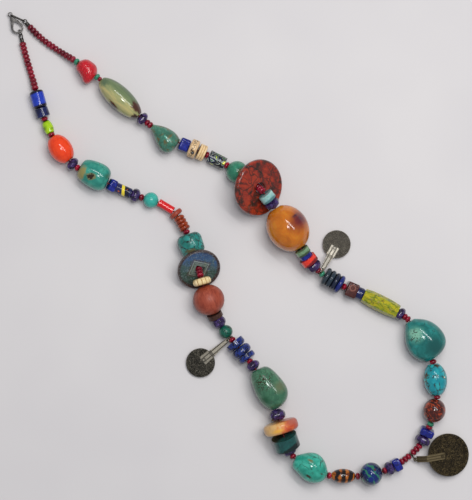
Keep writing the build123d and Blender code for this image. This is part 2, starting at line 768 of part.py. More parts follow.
# Tail link: a long oval from the clasp's eye to the right crimp's eye
link_play = ring_play / 2
link_way = (clasp_eye - right_eye).normalized()
link_start = clasp_eye - link_way * (eye_hole - link_wire / 2 - link_play)
link_end = right_eye + link_way * (eye_hole - link_wire / 2 - link_play)
link_slope = math.radians(link_lean)
link_normal = UP * math.cos(link_slope) + link_way.cross(UP) * math.sin(link_slope)
link_plane = Plane((link_start + link_end) * 0.5, x_dir=link_way, z_dir=link_normal)
link_bend = (link_width - link_wire) / 2
link_reach = (link_start - link_end).length / 2
link_straight = link_reach - link_bend
print("tail link", round(2 * link_reach + link_wire, 1), "long")
with BuildPart() as tail_link:
    with BuildLine(link_plane) as oval_path:
        Line((-link_straight, link_bend), (link_straight, link_bend))
        ThreePointArc((link_straight, link_bend), (link_reach, 0), (link_straight, -link_bend))
        Line((link_straight, -link_bend), (-link_straight, -link_bend))
        ThreePointArc((-link_straight, -link_bend), (-link_reach, 0), (-link_straight, link_bend))
    with BuildSketch(Plane(oval_path.line @ 0, z_dir=oval_path.line % 0)):
        Circle(link_wire / 2)
    sweep(path=oval_path.line)
save(tail_link.part, "tail_link")

# Coins on their bails: where each hangs on the string, its size, the way it lies out from
# the string, how far, its slope, the radius of its ring, and its bail's widths.
Coin = namedtuple("Coin", "diameter heading distance tilt ring_radius outer_width inner_width petals")
COINS = {
    "coin_pendant_left": Coin(17.4, 176.7, 20.9, 3, 2.0, 2.4, 5.6, 7),
    "coin_pendant_front": Coin(25.6, -35.0, 19.8, 15, 2.6, 3.6, 3.8, 11),
    "coin_pendant_right": Coin(16.8, 16.7, 17.0, 3, 2.0, 2.6, 5.2, 9),
}
RING_ROWS = [row for row, bead in enumerate(STRING) if bead.node == "ring_space"]
eye_bore = ring_wire / 2 + 1.5 * ring_play


def coin_ring_places(coin, seat):
    """Middle of a coin's ring, and the point on it where the bail's eye sits."""
    out = seat.side * -1 if seat.side.dot(Vector(1, 0, 0).rotate(Axis.Z, coin.heading)) < 0 else seat.side
    hold = coin.ring_radius - ring_wire / 2 - thread_diameter / 2 - ring_play
    lowest = coin.ring_radius + ring_wire / 2 + ring_play - seat.middle.Z
    drop = max(lowest, -0.7 * hold)
    middle = seat.middle + out * math.sqrt(hold**2 - drop**2) + UP * drop
    return middle, middle + out * coin.ring_radius


def coin_pendant(coin, seat):
    """Coin with a raised rim and ornament, and the strap soldered on its face."""
    ring_middle, eye = coin_ring_places(coin, seat)
    heading = Vector(1, 0, 0).rotate(Axis.Z, coin.heading)
    slope = math.radians(coin.tilt)
    normal = heading * math.sin(slope) + UP * math.cos(slope)
    height = coin.diameter / 2 * math.sin(slope) + coin_thickness / 2 * math.cos(slope)
    middle = Vector(eye.X, eye.Y, 0) + heading * coin.distance + UP * height
    downhill = heading * math.cos(slope) - UP * math.sin(slope)
    face = Plane(middle + normal * (coin_thickness / 2), x_dir=downhill, z_dir=normal)
    radius = coin.diameter / 2
    side_view = Plane(eye, x_dir=heading, z_dir=heading.cross(UP))
    eye_outside = eye_bore + strap_thickness / 2
    run = (middle - eye).dot(heading)

    def face_height(place):
        return face.origin.Z - eye.Z - (place - (face.origin - eye).dot(heading)) * math.tan(slope)

    rim_place = run - radius * math.cos(slope)
    plate_end = run - radius * 0.18
    lift = strap_thickness / 2 + coin_relief
    with BuildPart() as pendant:
        with BuildSketch(face) as blank:
            Circle(radius)
        extrude(blank.sketch, amount=-coin_thickness)
        with BuildSketch(face) as relief:
            Circle(radius)
            Circle(radius * 0.9, mode=Mode.SUBTRACT)
            with PolarLocations(radius * 0.8, coin.petals * 4):
                SlotOverall(radius * 0.13, radius * 0.05)
            with PolarLocations(radius * 0.5, coin.petals):
                SlotOverall(radius * 0.36, radius * 0.1, rotation=35)
            with PolarLocations(radius * 0.3, coin.petals, start_angle=25):
                SlotOverall(radius * 0.22, radius * 0.09, rotation=-50)
        extrude(relief.sketch, amount=coin_relief)
        # The strap: its side view, cut to a taper seen from above
        with BuildSketch(side_view) as strap_side:
            with BuildLine():
                over_rim = rim_place + strap_thickness
                step_height = max(face_height(rim_place), 0) + lift + strap_thickness * 0.4
                top = [
                    (eye_bore * 1.5, strap_thickness / 2),
                    (rim_place - strap_thickness, step_height),
                    (over_rim, face_height(over_rim) + lift + strap_thickness / 2),
                    (plate_end, face_height(plate_end) + lift + strap_thickness / 2),
                ]
                bottom = [(place, height - strap_thickness - coin_relief) for place, height in reversed(top)]
                bottom[-1] = (top[0][0], -strap_thickness / 2)
                bottom[-2] = (top[1][0], top[1][1] - strap_thickness)
                Polyline(*top, *bottom, close=True)
            make_face()
        with BuildSketch(Plane(eye - UP * coin.diameter, x_dir=heading, z_dir=UP)) as strap_plan:
            with BuildLine():
                Polyline(
                    (0, -coin.outer_width / 2),
                    (plate_end, -coin.inner_width / 2),
                    (plate_end, coin.inner_width / 2),
                    (0, coin.outer_width / 2),
                    close=True,
                )
            make_face()
        with BuildPart(mode=Mode.PRIVATE) as strap:
            extrude(strap_side.sketch, amount=coin.diameter, both=True)
            extrude(strap_plan.sketch, amount=3 * coin.diameter, mode=Mode.INTERSECT)
        add(strap.part)
        # The eye round the ring's wire, and the boss at the strap's end
        with BuildSketch(Plane(eye - UP * strap_thickness / 2, z_dir=UP)) as eye_section:
            Circle(eye_outside + eye_bore * 0.2)
        extrude(eye_section.sketch, amount=strap_thickness)
        with BuildSketch(Plane(eye - UP * strap_thickness, z_dir=UP)) as eye_hollow:
            Circle(eye_bore)
        extrude(eye_hollow.sketch, amount=2 * strap_thickness, mode=Mode.SUBTRACT)
        boss_place = face.origin - face.x_dir * (radius * 0.3)
        with BuildSketch(Plane(boss_place, z_dir=normal)) as boss:
            Circle(coin.inner_width * 0.36)
        extrude(boss.sketch, amount=lift + strap_thickness)
    return pendant.part


for row, (name, coin) in zip(RING_ROWS, COINS.items()):
    save(coin_pendant(coin, seats[row]), name)
with BuildPart() as coin_rings:
    for row, coin in zip(RING_ROWS, COINS.values()):
        ring_middle, eye = coin_ring_places(coin, seats[row])
        add(wire_ring(ring_middle, seats[row].along, coin.ring_radius, ring_wire))
save(coin_rings.part, "coin_rings")
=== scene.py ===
# %% [markdown]
# # A dowry necklace of mixed beads
# The solids of every bead, disc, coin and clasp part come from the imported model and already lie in
# their real places. This lesson gives them smooth skins, strings the small seed beads behind the
# neck, and builds a finish for each stone, glass, wood and metal out of shader nodes.

# %% Load the necklace
import json
import math
import random

import bmesh
import bpy
from mathutils import Matrix, Vector

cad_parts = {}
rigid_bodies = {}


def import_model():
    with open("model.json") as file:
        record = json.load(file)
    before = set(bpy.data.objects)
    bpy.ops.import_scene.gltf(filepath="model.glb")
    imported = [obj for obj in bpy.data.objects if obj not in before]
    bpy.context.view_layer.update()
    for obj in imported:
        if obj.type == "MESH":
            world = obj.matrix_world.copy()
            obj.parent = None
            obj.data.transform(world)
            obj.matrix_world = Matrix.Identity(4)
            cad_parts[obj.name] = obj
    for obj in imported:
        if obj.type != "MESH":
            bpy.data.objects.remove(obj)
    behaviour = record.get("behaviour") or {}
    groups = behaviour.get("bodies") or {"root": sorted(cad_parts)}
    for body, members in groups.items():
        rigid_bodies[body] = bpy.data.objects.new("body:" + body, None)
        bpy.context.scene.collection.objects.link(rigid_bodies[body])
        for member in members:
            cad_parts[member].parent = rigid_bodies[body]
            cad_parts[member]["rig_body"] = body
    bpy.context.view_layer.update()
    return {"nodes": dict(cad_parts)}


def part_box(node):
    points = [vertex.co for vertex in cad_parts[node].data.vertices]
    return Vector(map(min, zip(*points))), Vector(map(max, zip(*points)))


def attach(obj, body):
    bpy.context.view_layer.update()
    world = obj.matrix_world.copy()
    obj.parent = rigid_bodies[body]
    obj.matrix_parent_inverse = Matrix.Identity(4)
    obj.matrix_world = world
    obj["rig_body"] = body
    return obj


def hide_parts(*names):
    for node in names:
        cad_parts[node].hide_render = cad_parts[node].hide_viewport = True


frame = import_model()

print("solids:", len(frame["nodes"]))

# %% [markdown]
# ## The camera
# The necklace was seen from straight above, turned so that its long side runs across the picture.
# A long lens from a metre up keeps the beads at the edge from leaning outwards. The picture is
# 472 by 500 points, and one point is 0.6 mm on the string, so the frame is 0.3 m high.

# %% Place the camera
ROLL = math.radians(-43.3)
CAMERA_HEIGHT = 1.1
CAMERA_OVER = (0.0071, -0.0040)
BEAD_HEIGHT = 0.007
FRAME_HEIGHT = 0.3
SENSOR = 36
lens_data = bpy.data.cameras.new("overhead_camera")
lens_data.sensor_width = SENSOR
lens_data.lens = (CAMERA_HEIGHT - BEAD_HEIGHT) * SENSOR / FRAME_HEIGHT
camera = bpy.data.objects.new("overhead_camera", lens_data)
camera.location = (*CAMERA_OVER, CAMERA_HEIGHT)
camera.rotation_euler = (0, 0, ROLL)
bpy.context.scene.collection.objects.link(camera)
bpy.context.scene.camera = camera
bpy.context.scene.view_settings.view_transform = "Standard"
print("lens", round(lens_data.lens), "mm")

# %% [markdown]
# ## The table and the light
# The ground is a plain pale board. A broad soft lamp stands up and to the right of the picture, so
# shadows fall softly to the lower left. It is kept out of reflections, where it would lie over the
# beads like fog. A small window-like lamp and a narrow strip leave the crisp bright marks that
# polished stone shows, and a pale sky fills the rest.


# %% Floor and lamps
def srgb(text):
    """Scene colour for a colour written as six hex digits."""
    linear = []
    for place in (0, 2, 4):
        part = int(text[place:place + 2], 16) / 255
        linear.append(part / 12.92 if part < 0.04045 else ((part + 0.055) / 1.055) ** 2.4)
    return (*linear, 1.0)


def lamp(name, right, up, height, size, power, tint="FFFFFF"):
    """Square lamp placed by the picture's own right and up, in metres, and aimed at the necklace."""
    data = bpy.data.lights.new(name, "AREA")
    data.shape = "SQUARE"
    data.size = size
    data.energy = power
    data.color = srgb(tint)[:3]
    light = bpy.data.objects.new(name, data)
    across = Vector((math.cos(ROLL), math.sin(ROLL), 0))
    onward = Vector((-math.sin(ROLL), math.cos(ROLL), 0))
    light.location = across * right + onward * up + Vector((0, 0, height))
    light.rotation_euler = (-light.location).to_track_quat("-Z", "Y").to_euler()
    bpy.context.scene.collection.objects.link(light)
    return light


soft_lamp = lamp("soft_lamp", right=0.38, up=0.46, height=1.4, size=1.0, power=13.5, tint="FFFBF6")
soft_lamp.visible_glossy = False
lamp("window_lamp", right=0.06, up=0.12, height=1.3, size=0.2, power=2.4)
strip_lamp = lamp("strip_lamp", right=0.26, up=0.3, height=0.9, size=0.9, power=2.6)
strip_lamp.data.shape = "RECTANGLE"
strip_lamp.data.size_y = 0.06
sky = bpy.data.worlds.new("pale_sky")
sky.use_nodes = True
sky.node_tree.nodes["Background"].inputs["Color"].default_value = srgb("E6E8F0")
sky.node_tree.nodes["Background"].inputs["Strength"].default_value = 0.36
bpy.context.scene.world = sky

BOARD_HALF = 2.0
BOARD_DROP = 0.0001
bm = bmesh.new()
bmesh.ops.create_grid(bm, x_segments=1, y_segments=1, size=BOARD_HALF)
bmesh.ops.translate(bm, verts=bm.verts, vec=(0, 0, -BOARD_DROP))
board_mesh = bpy.data.meshes.new("board")
bm.to_mesh(board_mesh)
bm.free()
board = bpy.data.objects.new("board", board_mesh)
bpy.context.scene.collection.objects.link(board)
print("floor and lamps ready")

# %% [markdown]
# ## A kit for finishes
# A finish is a chain of nodes that ends in the Principled shader. Writing the chain with small
# helpers keeps each finish to a few lines. `at` is a place on the bead in millimetres, measured
# from its middle, with X along the thread, so a stripe or a stain can be put where it belongs.


# %% Nodes in a few words
class Finish:
    """A material under construction. Sizes and depths are in millimetres."""

    def __init__(self, name, rough, metal=0.0, coat=0.0, glow=0.0, specular=0.5):
        self.material = bpy.data.materials.new(name)
        self.material.use_nodes = True
        self.tree = self.material.node_tree
        self.shader = self.tree.nodes["Principled BSDF"]
        self.shader.inputs["Roughness"].default_value = rough
        self.shader.inputs["Metallic"].default_value = metal
        self.shader.inputs["Coat Weight"].default_value = coat
        self.shader.inputs["Coat Roughness"].default_value = 0.05
        self.shader.inputs["Specular IOR Level"].default_value = specular
        self.shader.inputs["Subsurface Weight"].default_value = glow
        self.shader.inputs["Subsurface Scale"].default_value = 0.002

    def feed(self, socket, value):
        """Link another node's output to a socket, or set the socket to a plain value."""
        if hasattr(value, "is_output"):
            self.tree.links.new(value, socket)
        else:
            socket.default_value = value

    def place(self, middle=(0, 0, 0), heading=0.0):
        """Millimetres from a middle, with X turned to the heading."""
        spot = self.tree.nodes.new("ShaderNodeTexCoord")
        turn = self.tree.nodes.new("ShaderNodeMapping")
        turn.vector_type = "TEXTURE"
        turn.inputs["Location"].default_value = middle
        turn.inputs["Rotation"].default_value = (0, 0, heading)
        turn.inputs["Scale"].default_value = (0.001, 0.001, 0.001)
        self.tree.links.new(spot.outputs["Object"], turn.inputs["Vector"])
        return turn.outputs["Vector"]

    def stretch(self, at, along, across, up=None):
        """Coordinates squeezed so that a pattern comes out longer that way."""
        scale = self.tree.nodes.new("ShaderNodeMapping")
        scale.inputs["Scale"].default_value = (1 / along, 1 / across, 1 / (up or across))
        self.feed(scale.inputs["Vector"], at)
        return scale.outputs["Vector"]

    def turned(self, at, middle, turn=0.0, squash=1.0):
        """Coordinates moved to a place and turned there, shortened along X by the squash."""
        node = self.tree.nodes.new("ShaderNodeMapping")
        node.vector_type = "TEXTURE"
        node.inputs["Location"].default_value = (middle[0], middle[1], 0)
        node.inputs["Rotation"].default_value = (0, 0, turn)
        node.inputs["Scale"].default_value = (squash, 1, 1)
        self.feed(node.inputs["Vector"], at)
        return node.outputs["Vector"]

    def noise(self, at, size, detail=4.0, rough=0.55, warp=0.0):
        """Cloud of a size in millimetres."""
        cloud = self.tree.nodes.new("ShaderNodeTexNoise")
        cloud.inputs["Scale"].default_value = 1 / size
        cloud.inputs["Detail"].default_value = detail
        cloud.inputs["Roughness"].default_value = rough
        cloud.inputs["Distortion"].default_value = warp
        self.feed(cloud.inputs["Vector"], at)
        return cloud.outputs["Fac"]

    def cells(self, at, size):
        """Distance to the edge of the nearest cell."""
        web = self.tree.nodes.new("ShaderNodeTexVoronoi")
        web.feature = "DISTANCE_TO_EDGE"
        web.inputs["Scale"].default_value = 1 / size
        self.feed(web.inputs["Vector"], at)
        return web.outputs["Distance"]

    def cell_shade(self, at, size):
        """A grey of its own for each cell."""
        web = self.tree.nodes.new("ShaderNodeTexVoronoi")
        web.inputs["Scale"].default_value = 1 / size
        self.feed(web.inputs["Vector"], at)
        part = self.tree.nodes.new("ShaderNodeSeparateColor")
        self.tree.links.new(web.outputs["Color"], part.inputs["Color"])
        return part.outputs["Red"]

    def swirl(self, at, strength, size):
        """Coordinates pushed about by a cloud."""
        cloud = self.tree.nodes.new("ShaderNodeTexNoise")
        cloud.inputs["Scale"].default_value = 1 / size
        cloud.inputs["Detail"].default_value = 3
        self.feed(cloud.inputs["Vector"], at)
        push = self.tree.nodes.new("ShaderNodeVectorMath")
        push.operation = "MULTIPLY_ADD"
        self.tree.links.new(cloud.outputs["Color"], push.inputs[0])
        push.inputs[1].default_value = (strength, strength, strength)
        self.feed(push.inputs[2], at)
        return push.outputs["Vector"]

    def part(self, at, axis):
        """One of the three coordinates."""
        split = self.tree.nodes.new("ShaderNodeSeparateXYZ")
        self.feed(split.inputs["Vector"], at)
        return split.outputs[axis]

    def maths(self, kind, first, second=0.0):
        """One step of arithmetic."""
        node = self.tree.nodes.new("ShaderNodeMath")
        node.operation = kind
        self.feed(node.inputs[0], first)
        self.feed(node.inputs[1], second)
        return node.outputs["Value"]

    def edge(self, value, low, high, start=0.0, end=1.0):
        """Smooth step of a value between two levels."""
        node = self.tree.nodes.new("ShaderNodeMapRange")
        node.interpolation_type = "SMOOTHSTEP"
        self.feed(node.inputs["Value"], value)
        node.inputs["From Min"].default_value = low
        node.inputs["From Max"].default_value = high
        node.inputs["To Min"].default_value = start
        node.inputs["To Max"].default_value = end
        return node.outputs["Result"]

    def line(self, value, level, inner, outer, share):
        """The share where a value is within the inner distance of a level, and 0 beyond the outer."""
        away = self.maths("ABSOLUTE", self.maths("SUBTRACT", value, level))
        return self.edge(away, inner, outer, share, 0.0)

    def distance(self, first, second):
        """Distance from the origin for two coordinates."""
        squares = self.maths("ADD", self.maths("POWER", first, 2.0), self.maths("POWER", second, 2.0))
        return self.maths("SQRT", squares)

    def ramp(self, value, stops, hard=False):
        """Colour by value. Stops are pairs of a place and a colour."""
        node = self.tree.nodes.new("ShaderNodeValToRGB")
        node.color_ramp.interpolation = "CONSTANT" if hard else "LINEAR"
        marks = node.color_ramp.elements
        marks[0].position, marks[0].color = stops[0][0], srgb(stops[0][1])
        marks[1].position, marks[1].color = stops[-1][0], srgb(stops[-1][1])
        for place, colour in stops[1:-1]:
            marks.new(place).color = srgb(colour)
        self.feed(node.inputs["Fac"], value)
        return node.outputs["Color"]

    def mix(self, share, low, high):
        """Blend of two colours by a share from 0 to 1."""
        node = self.tree.nodes.new("ShaderNodeMix")
        node.data_type = "RGBA"
        self.feed(node.inputs[0], share)
        self.feed(node.inputs[6], srgb(low) if isinstance(low, str) else low)
        self.feed(node.inputs[7], srgb(high) if isinstance(high, str) else high)
        return node.outputs[2]

    def spot(self, at, radius, soft, ragged):
        """1 inside a ragged spot seen from above, 0 outside it."""
        flat = self.tree.nodes.new("ShaderNodeVectorMath")
        flat.operation = "MULTIPLY"
        self.feed(flat.inputs[0], at)
        flat.inputs[1].default_value = (1, 1, 0)
        length = self.tree.nodes.new("ShaderNodeVectorMath")
        length.operation = "LENGTH"
        self.tree.links.new(flat.outputs["Vector"], length.inputs[0])
        wander = self.maths("MULTIPLY_ADD", self.noise(at, radius * 0.6, 5), ragged * radius * 3)
        reach = self.maths("ADD", length.outputs["Value"], wander)
        limit = radius * (1 + ragged * 1.5)
        return self.edge(reach, limit - soft, limit + soft, 1.0, 0.0)

    def colour(self, value):
        """Base colour, from six hex digits or from a node."""
        self.feed(self.shader.inputs["Base Color"], srgb(value) if isinstance(value, str) else value)

    def rough(self, value):
        """Roughness from a node."""
        self.feed(self.shader.inputs["Roughness"], value)

    def bump(self, height, depth):
        """Relief with its depth in millimetres for a height of 1."""
        node = self.tree.nodes.new("ShaderNodeBump")
        node.inputs["Strength"].default_value = 1.0
        node.inputs["Distance"].default_value = depth / 1000
        self.feed(node.inputs["Height"], height)
        if self.shader.inputs["Normal"].is_linked:
            self.tree.links.new(self.shader.inputs["Normal"].links[0].from_socket, node.inputs["Normal"])
        self.tree.links.new(node.outputs["Normal"], self.shader.inputs["Normal"])


paper = Finish("pale_board", rough=0.7, specular=0.2)
paper_at = paper.place()
paper.colour(paper.ramp(paper.noise(paper_at, 90, 2), [(0.3, "CAC8CA"), (0.7, "CFCDCE")]))
paper.bump(paper.noise(paper_at, 0.8, 2), 0.01)
board_mesh.materials.append(paper.material)
print("finish kit ready")

# %% [markdown]
# ## Smooth skins for the beads
# A solid arrives as loose flat triangles. A copy with its doubled points merged can be shaded
# smoothly, with the real edges kept sharp, and it replaces the solid in the picture. Copying the
# solid is better than making the bead again, because it can't drift off the string. Seeds and
# purple beads are packed tight on a real string, so their copies are swollen a little.

# %% Copy and smooth a solid
SHARP = math.radians(32)
MERGE = 2e-6
body_names = {node: solid["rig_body"] for node, solid in frame["nodes"].items()}


def connected(start):
    """All points that hang together with the first ones."""
    found = list(start)
    seen = set(found)
    for point in found:
        for line in point.link_edges:
            other = line.other_vert(point)
            if other not in seen:
                seen.add(other)
                found.append(other)
    return found


def islands(bm):
    """Lists of points that hang together, one for each bead."""
    left = set(bm.verts)
    while left:
        found = connected([left.pop()])
        left.difference_update(found)
        yield found


def swell(bm, share):
    """Grow each bead from the middle of its underside, so that it stays on the table."""
    for points in islands(bm):
        middle = sum((point.co for point in points), Vector()) / len(points)
        middle.z = min(point.co.z for point in points)
        bmesh.ops.scale(bm, verts=points, vec=(share, share, share), space=Matrix.Translation(-middle))


SWOLLEN = {"red_seeds": 1.07, "green_seeds": 1.07, "amethyst_beads": 1.08, "yellow_tube": 1.06}


def new_piece(bm, name, node):
    """Finish a mesh as a piece that replaces a solid."""
    mesh = bpy.data.meshes.new(name)
    bm.to_mesh(mesh)
    bm.free()
    piece = bpy.data.objects.new(name, mesh)
    bpy.context.scene.collection.objects.link(piece)
    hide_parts(node)
    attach(piece, body_names[node])
    return piece


def smooth_skin(node):
    """Merged and smoothly shaded copy of a solid, which replaces it."""
    source = frame["nodes"][node]
    skin = bmesh.new()
    skin.from_mesh(source.data)
    bmesh.ops.remove_doubles(skin, verts=skin.verts, dist=MERGE)
    swell(skin, SWOLLEN.get(node, 1.0))
    for face in skin.faces:
        face.smooth = True
    for line in skin.edges:
        line.smooth = len(line.link_faces) == 2 and line.calc_face_angle(0.0) < SHARP
    return new_piece(skin, node + "_skin", node)


THREADING = [
    "blue_tube", "lime_barrel", "coral_barrel", "turquoise_block", "trade_tube", "turquoise_round",
    "coral_tube", "brick_disc", "carnelian_ribbed", "turquoise_weathered", "bone_melon", "wood_round",
    "bronze_disc", "malachite_round", "green_nugget", "agate_disc", "teal_cylinder",
    "turquoise_pebble", "tiger_oval", "swirl_glass", "jasper_oval", "turquoise_oval",
    "turquoise_heart", "yellow_tube", "cube_bead", "navy_coil", "coral_disc", "olive_disc",
    "amber_oval", "aqua_cylinder", "green_round", "mosaic_tube", "bone_stack", "bone_printed",
    "teardrop", "agate_barrel", "coral_nugget",
]
GROUPS = ["amethyst_beads", "cobalt_beads", "lapis_discs", "navy_beads", "red_seeds", "green_seeds"]
OTHERS = ["slate_disc", "jasper_donut", "clasp_body", "clasp_lever", "crimps", "jump_ring", "tail_link",
          "coin_pendant_left", "coin_pendant_front", "coin_pendant_right", "coin_rings"]


def middle_of(node):
    """Middle of a solid's box, in metres."""
    low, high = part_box(node)
    return (Vector(low) + Vector(high)) / 2


middles = {node: middle_of(node) for node in THREADING + OTHERS}
headings = {}
for row, node in enumerate(THREADING):
    before = middles[THREADING[max(row - 1, 0)]]
    after = middles[THREADING[min(row + 1, len(THREADING) - 1)]]
    way = after - before
    headings[node] = math.atan2(way.y, way.x)
skins = {node: smooth_skin(node) for node in THREADING + GROUPS + OTHERS}
print("skins:", len(skins))

# %% [markdown]
# ## Strings of seed beads
# Behind the neck the thread carries only small seed beads. Each is a short fat ring, made by
# spinning a flattened circle round the thread, and copies of it sit a bead's length apart along a smooth
# curve. Each copy leans a little and differs a little in length, as real seeds do.

# %% Spin one seed and string the rest
SEED_RADIUS = 0.0022
TUBE_RADIUS = 0.002
SEED_SQUASH = 0.86
SEED_LEAN = 0.07


def spun_seed(bm, middle, way, length, radius):
    """One seed bead round a place on the thread."""
    ring = bmesh.ops.create_circle(bm, segments=14, radius=length / 2)["verts"]
    bmesh.ops.scale(bm, verts=ring, vec=(1.0, SEED_SQUASH, 1.0))
    bmesh.ops.translate(bm, verts=ring, vec=(0, radius - length / 2 * SEED_SQUASH, 0))
    lines = list({line for point in ring for line in point.link_edges})
    bmesh.ops.spin(bm, geom=lines, cent=(0, 0, 0), axis=(1, 0, 0), angle=2 * math.pi, steps=32,
                   use_merge=True, use_duplicate=False)
    seed_points = connected(ring)
    turn = way.to_track_quat("X", "Z").to_matrix()
    bmesh.ops.rotate(bm, verts=seed_points, cent=(0, 0, 0), matrix=turn)
    bmesh.ops.translate(bm, verts=seed_points, vec=middle)


def seed_string(name, node, points, count, seed):
    """Fused string of seed beads along a route given in millimetres."""
    chance = random.Random(seed)
    route = [Vector(point) / 1000 + Vector((0, 0, SEED_RADIUS - TUBE_RADIUS)) for point in points]
    marks = [0.0]
    for start, end in zip(route, route[1:]):
        marks.append(marks[-1] + (end - start).length)

    def on_route(mark):
        """Place on the route, so many metres from its start."""
        for step in range(len(route) - 1):
            if mark <= marks[step + 1] or step == len(route) - 2:
                share = (mark - marks[step]) / (marks[step + 1] - marks[step])
                return route[step].lerp(route[step + 1], share)

    bm = bmesh.new()
    pitch = marks[-1] / count
    for number in range(count):
        mark = pitch * (number + 0.5)
        way = (on_route(min(mark + pitch, marks[-1])) - on_route(max(mark - pitch, 0))).normalized()
        lean = Vector((chance.uniform(-1, 1), chance.uniform(-1, 1), chance.uniform(-1, 1))) * SEED_LEAN
        radius = SEED_RADIUS * chance.uniform(0.93, 1.0)
        middle = on_route(mark)
        spun_seed(bm, middle, (way + lean).normalized(), pitch * chance.uniform(0.97, 1.04), radius)
    bmesh.ops.recalc_face_normals(bm, faces=bm.faces)
    for face in bm.faces:
        face.smooth = True
    print(name, "seeds", count, "pitch", round(pitch * 1000, 2), "mm")
    return new_piece(bm, name, node)


LEFT_ROUTE = [(-0.8, 175.4, 2.0), (-3.7, 170.2, 2.0), (-6.5, 164.9, 2.0), (-9.2, 159.5, 2.0),
              (-11.8, 154.2, 2.3), (-14.5, 148.9, 4.1)]
RIGHT_ROUTE = [(14.6, 145.5, 5.1), (13.1, 151.1, 3.3), (11.6, 156.8, 2.0), (10.3, 162.4, 2.0),
               (9.3, 168.2, 2.0), (8.8, 174.0, 2.0), (8.9, 179.8, 2.0)]
left_seeds = seed_string("seed_string_left", "neck_seeds_left", LEFT_ROUTE, 12, 3)
right_seeds = seed_string("seed_string_right", "neck_seeds_right", RIGHT_ROUTE, 14, 5)

# %% [markdown]
# ## Where a stain sits
# The necklace lies turned against the picture. Coordinates that are turned back by the camera's
# roll let a stain be put where the eye sees it: so many millimetres to the right of a bead's middle
# and so many up.


# %% Places on a bead
def bead_place(finish, node):
    """Millimetres from a bead's middle, X along the thread."""
    return finish.place(tuple(middles[node]), headings[node])


def picture_place(finish, node):
    """Millimetres from a bead's middle, X to the picture's right and Y up it."""
    return finish.place(tuple(middles[node]), ROLL)


def stain(finish, tint, node, right, up, radius, colour, soft=0.4, ragged=0.4, squash=1.0, turn=0.0):
    """A patch of another colour at a place in the picture, longer one way where squash is above 1.

    Right, up, the radius and the soft width of its edge are in millimetres.
    """
    at = finish.turned(picture_place(finish, node), (right, up), turn, squash)
    return finish.mix(finish.spot(at, radius, soft, ragged), tint, colour)


def pitted(finish, tint, node, right, up, radius, size, colour, level):
    """A cluster of small pits at a place in the picture."""
    at = picture_place(finish, node)
    region = finish.spot(finish.turned(at, (right, up)), radius, radius * 0.4, 0.3)
    dots = finish.edge(finish.noise(at, size, 2, 0.4, 0.5), level, level + 0.05)
    holes = finish.maths("MULTIPLY", region, dots)
    finish.bump(finish.maths("SUBTRACT", 1.0, holes), 0.15)
    return finish.mix(holes, tint, colour)


def wear(node, finish, tint=None):
    """Put a finish on a node's skin or on a piece, with its colour where that is given."""
    if tint is not None:
        finish.colour(tint)
    target = skins[node] if isinstance(node, str) else node
    target.data.materials.clear()
    target.data.materials.append(finish.material)


print("the heart lies at", [round(value * 1000, 1) for value in middles["turquoise_heart"]])

# %% [markdown]
# ## Glass beads
# Old trade glass is dense and glossy, with darker ends and tiny pits. Two close
# tones in a cloud keep it from looking like plastic, and a ragged dark ring marks each end.


# %% Plain glass
def glass(name, node, tones, ends=None, length=0.0, rough=0.16, glow=0.0):
    """Glossy bead glass, with darker ends where a length is given."""
    finish = Finish(name, rough=rough, coat=0.3, glow=glow)
    at = bead_place(finish, node) if node in headings else finish.place()
    tint = finish.ramp(finish.noise(at, 3.0, 4, warp=0.8), [(0.3, tones[0]), (0.7, tones[1])])
    if ends:
        away = finish.maths("ABSOLUTE", finish.part(at, "X"))
        ragged = finish.maths("ADD", away, finish.noise(at, 1.5, 3))
        tint = finish.mix(finish.edge(ragged, length / 2 - 0.5, length / 2 + 0.5), tint, ends)
    finish.bump(finish.noise(at, 0.7, 3), 0.02)
    return finish, tint


for name, node, tones, ends, length in (
    ("cobalt_tube_glass", "blue_tube", ("142C98", "2443BC"), "0C081C", 8.2),
    ("coral_orange_glass", "coral_barrel", ("D8340E", "EC4818"), "A82A0C", 17.6),
    ("coral_red_glass", "coral_tube", ("C40E18", "D82222"), "7A0E14", 10.8),
    ("teal_glass", "teal_cylinder", ("103A3A", "1C5854"), "081C1C", 8.2),
    ("coral_disc_glass", "coral_disc", ("D02818", "E64434"), "6A1014", 4.6),
    ("olive_disc_glass", "olive_disc", ("5A7C5C", "82A27C"), "34462F", 3.9),
):
    wear(node, *glass(name, node, tones, ends, length))
wear("aqua_cylinder", *glass("aqua_glass", "aqua_cylinder", ("78A8A6", "A0CCC6"), "4A7478", 4.9, glow=0.1))
wear("turquoise_round", *glass("robin_blue", "turquoise_round", ("2A988C", "40B0A2"), rough=0.25))
wear("navy_beads", *glass("navy_glass", "navy_beads", ("0A0E2C", "1C2660")))

finish, tint = glass("lime_glass", "lime_barrel", ("8CB80C", "AED41C"), "1E2608", 8.4)
# Painted shade: darker patches on the bead's curved sides.
for patch in (
    (-2.2, -1.0, 1.6, "5E7E0A", 1.0),
    (2.6, -0.4, 1.0, "4A6408", 0.8),
):
    tint = stain(finish, tint, "lime_barrel", *patch)
wear("lime_barrel", finish, tint)
print("plain glass done")


# %% [markdown]
# ## Beads whose glass is laid in bands
# The maker of a trade bead winds rods of other colours round a core. A ramp with hard stops along
# the thread gives the bands, and a little swirl makes their edges hand-drawn.

# %% Banded glass
WOBBLE = 0.5


def banded(name, node, length, stops, hard=True, slant=0.0, rough=0.15):
    """Bands along the thread from the first end (0) to the last (1)."""
    finish = Finish(name, rough=rough, coat=0.3)
    at = bead_place(finish, node)
    moved = finish.swirl(at, WOBBLE, 2.5)
    along = finish.maths("ADD", finish.part(moved, "X"), -WOBBLE / 2)
    if slant:
        along = finish.maths("ADD", along, finish.maths("MULTIPLY", finish.part(at, "Y"), slant))
    share = finish.maths("DIVIDE", finish.maths("ADD", along, length / 2), length)
    return finish, at, finish.ramp(share, stops, hard)


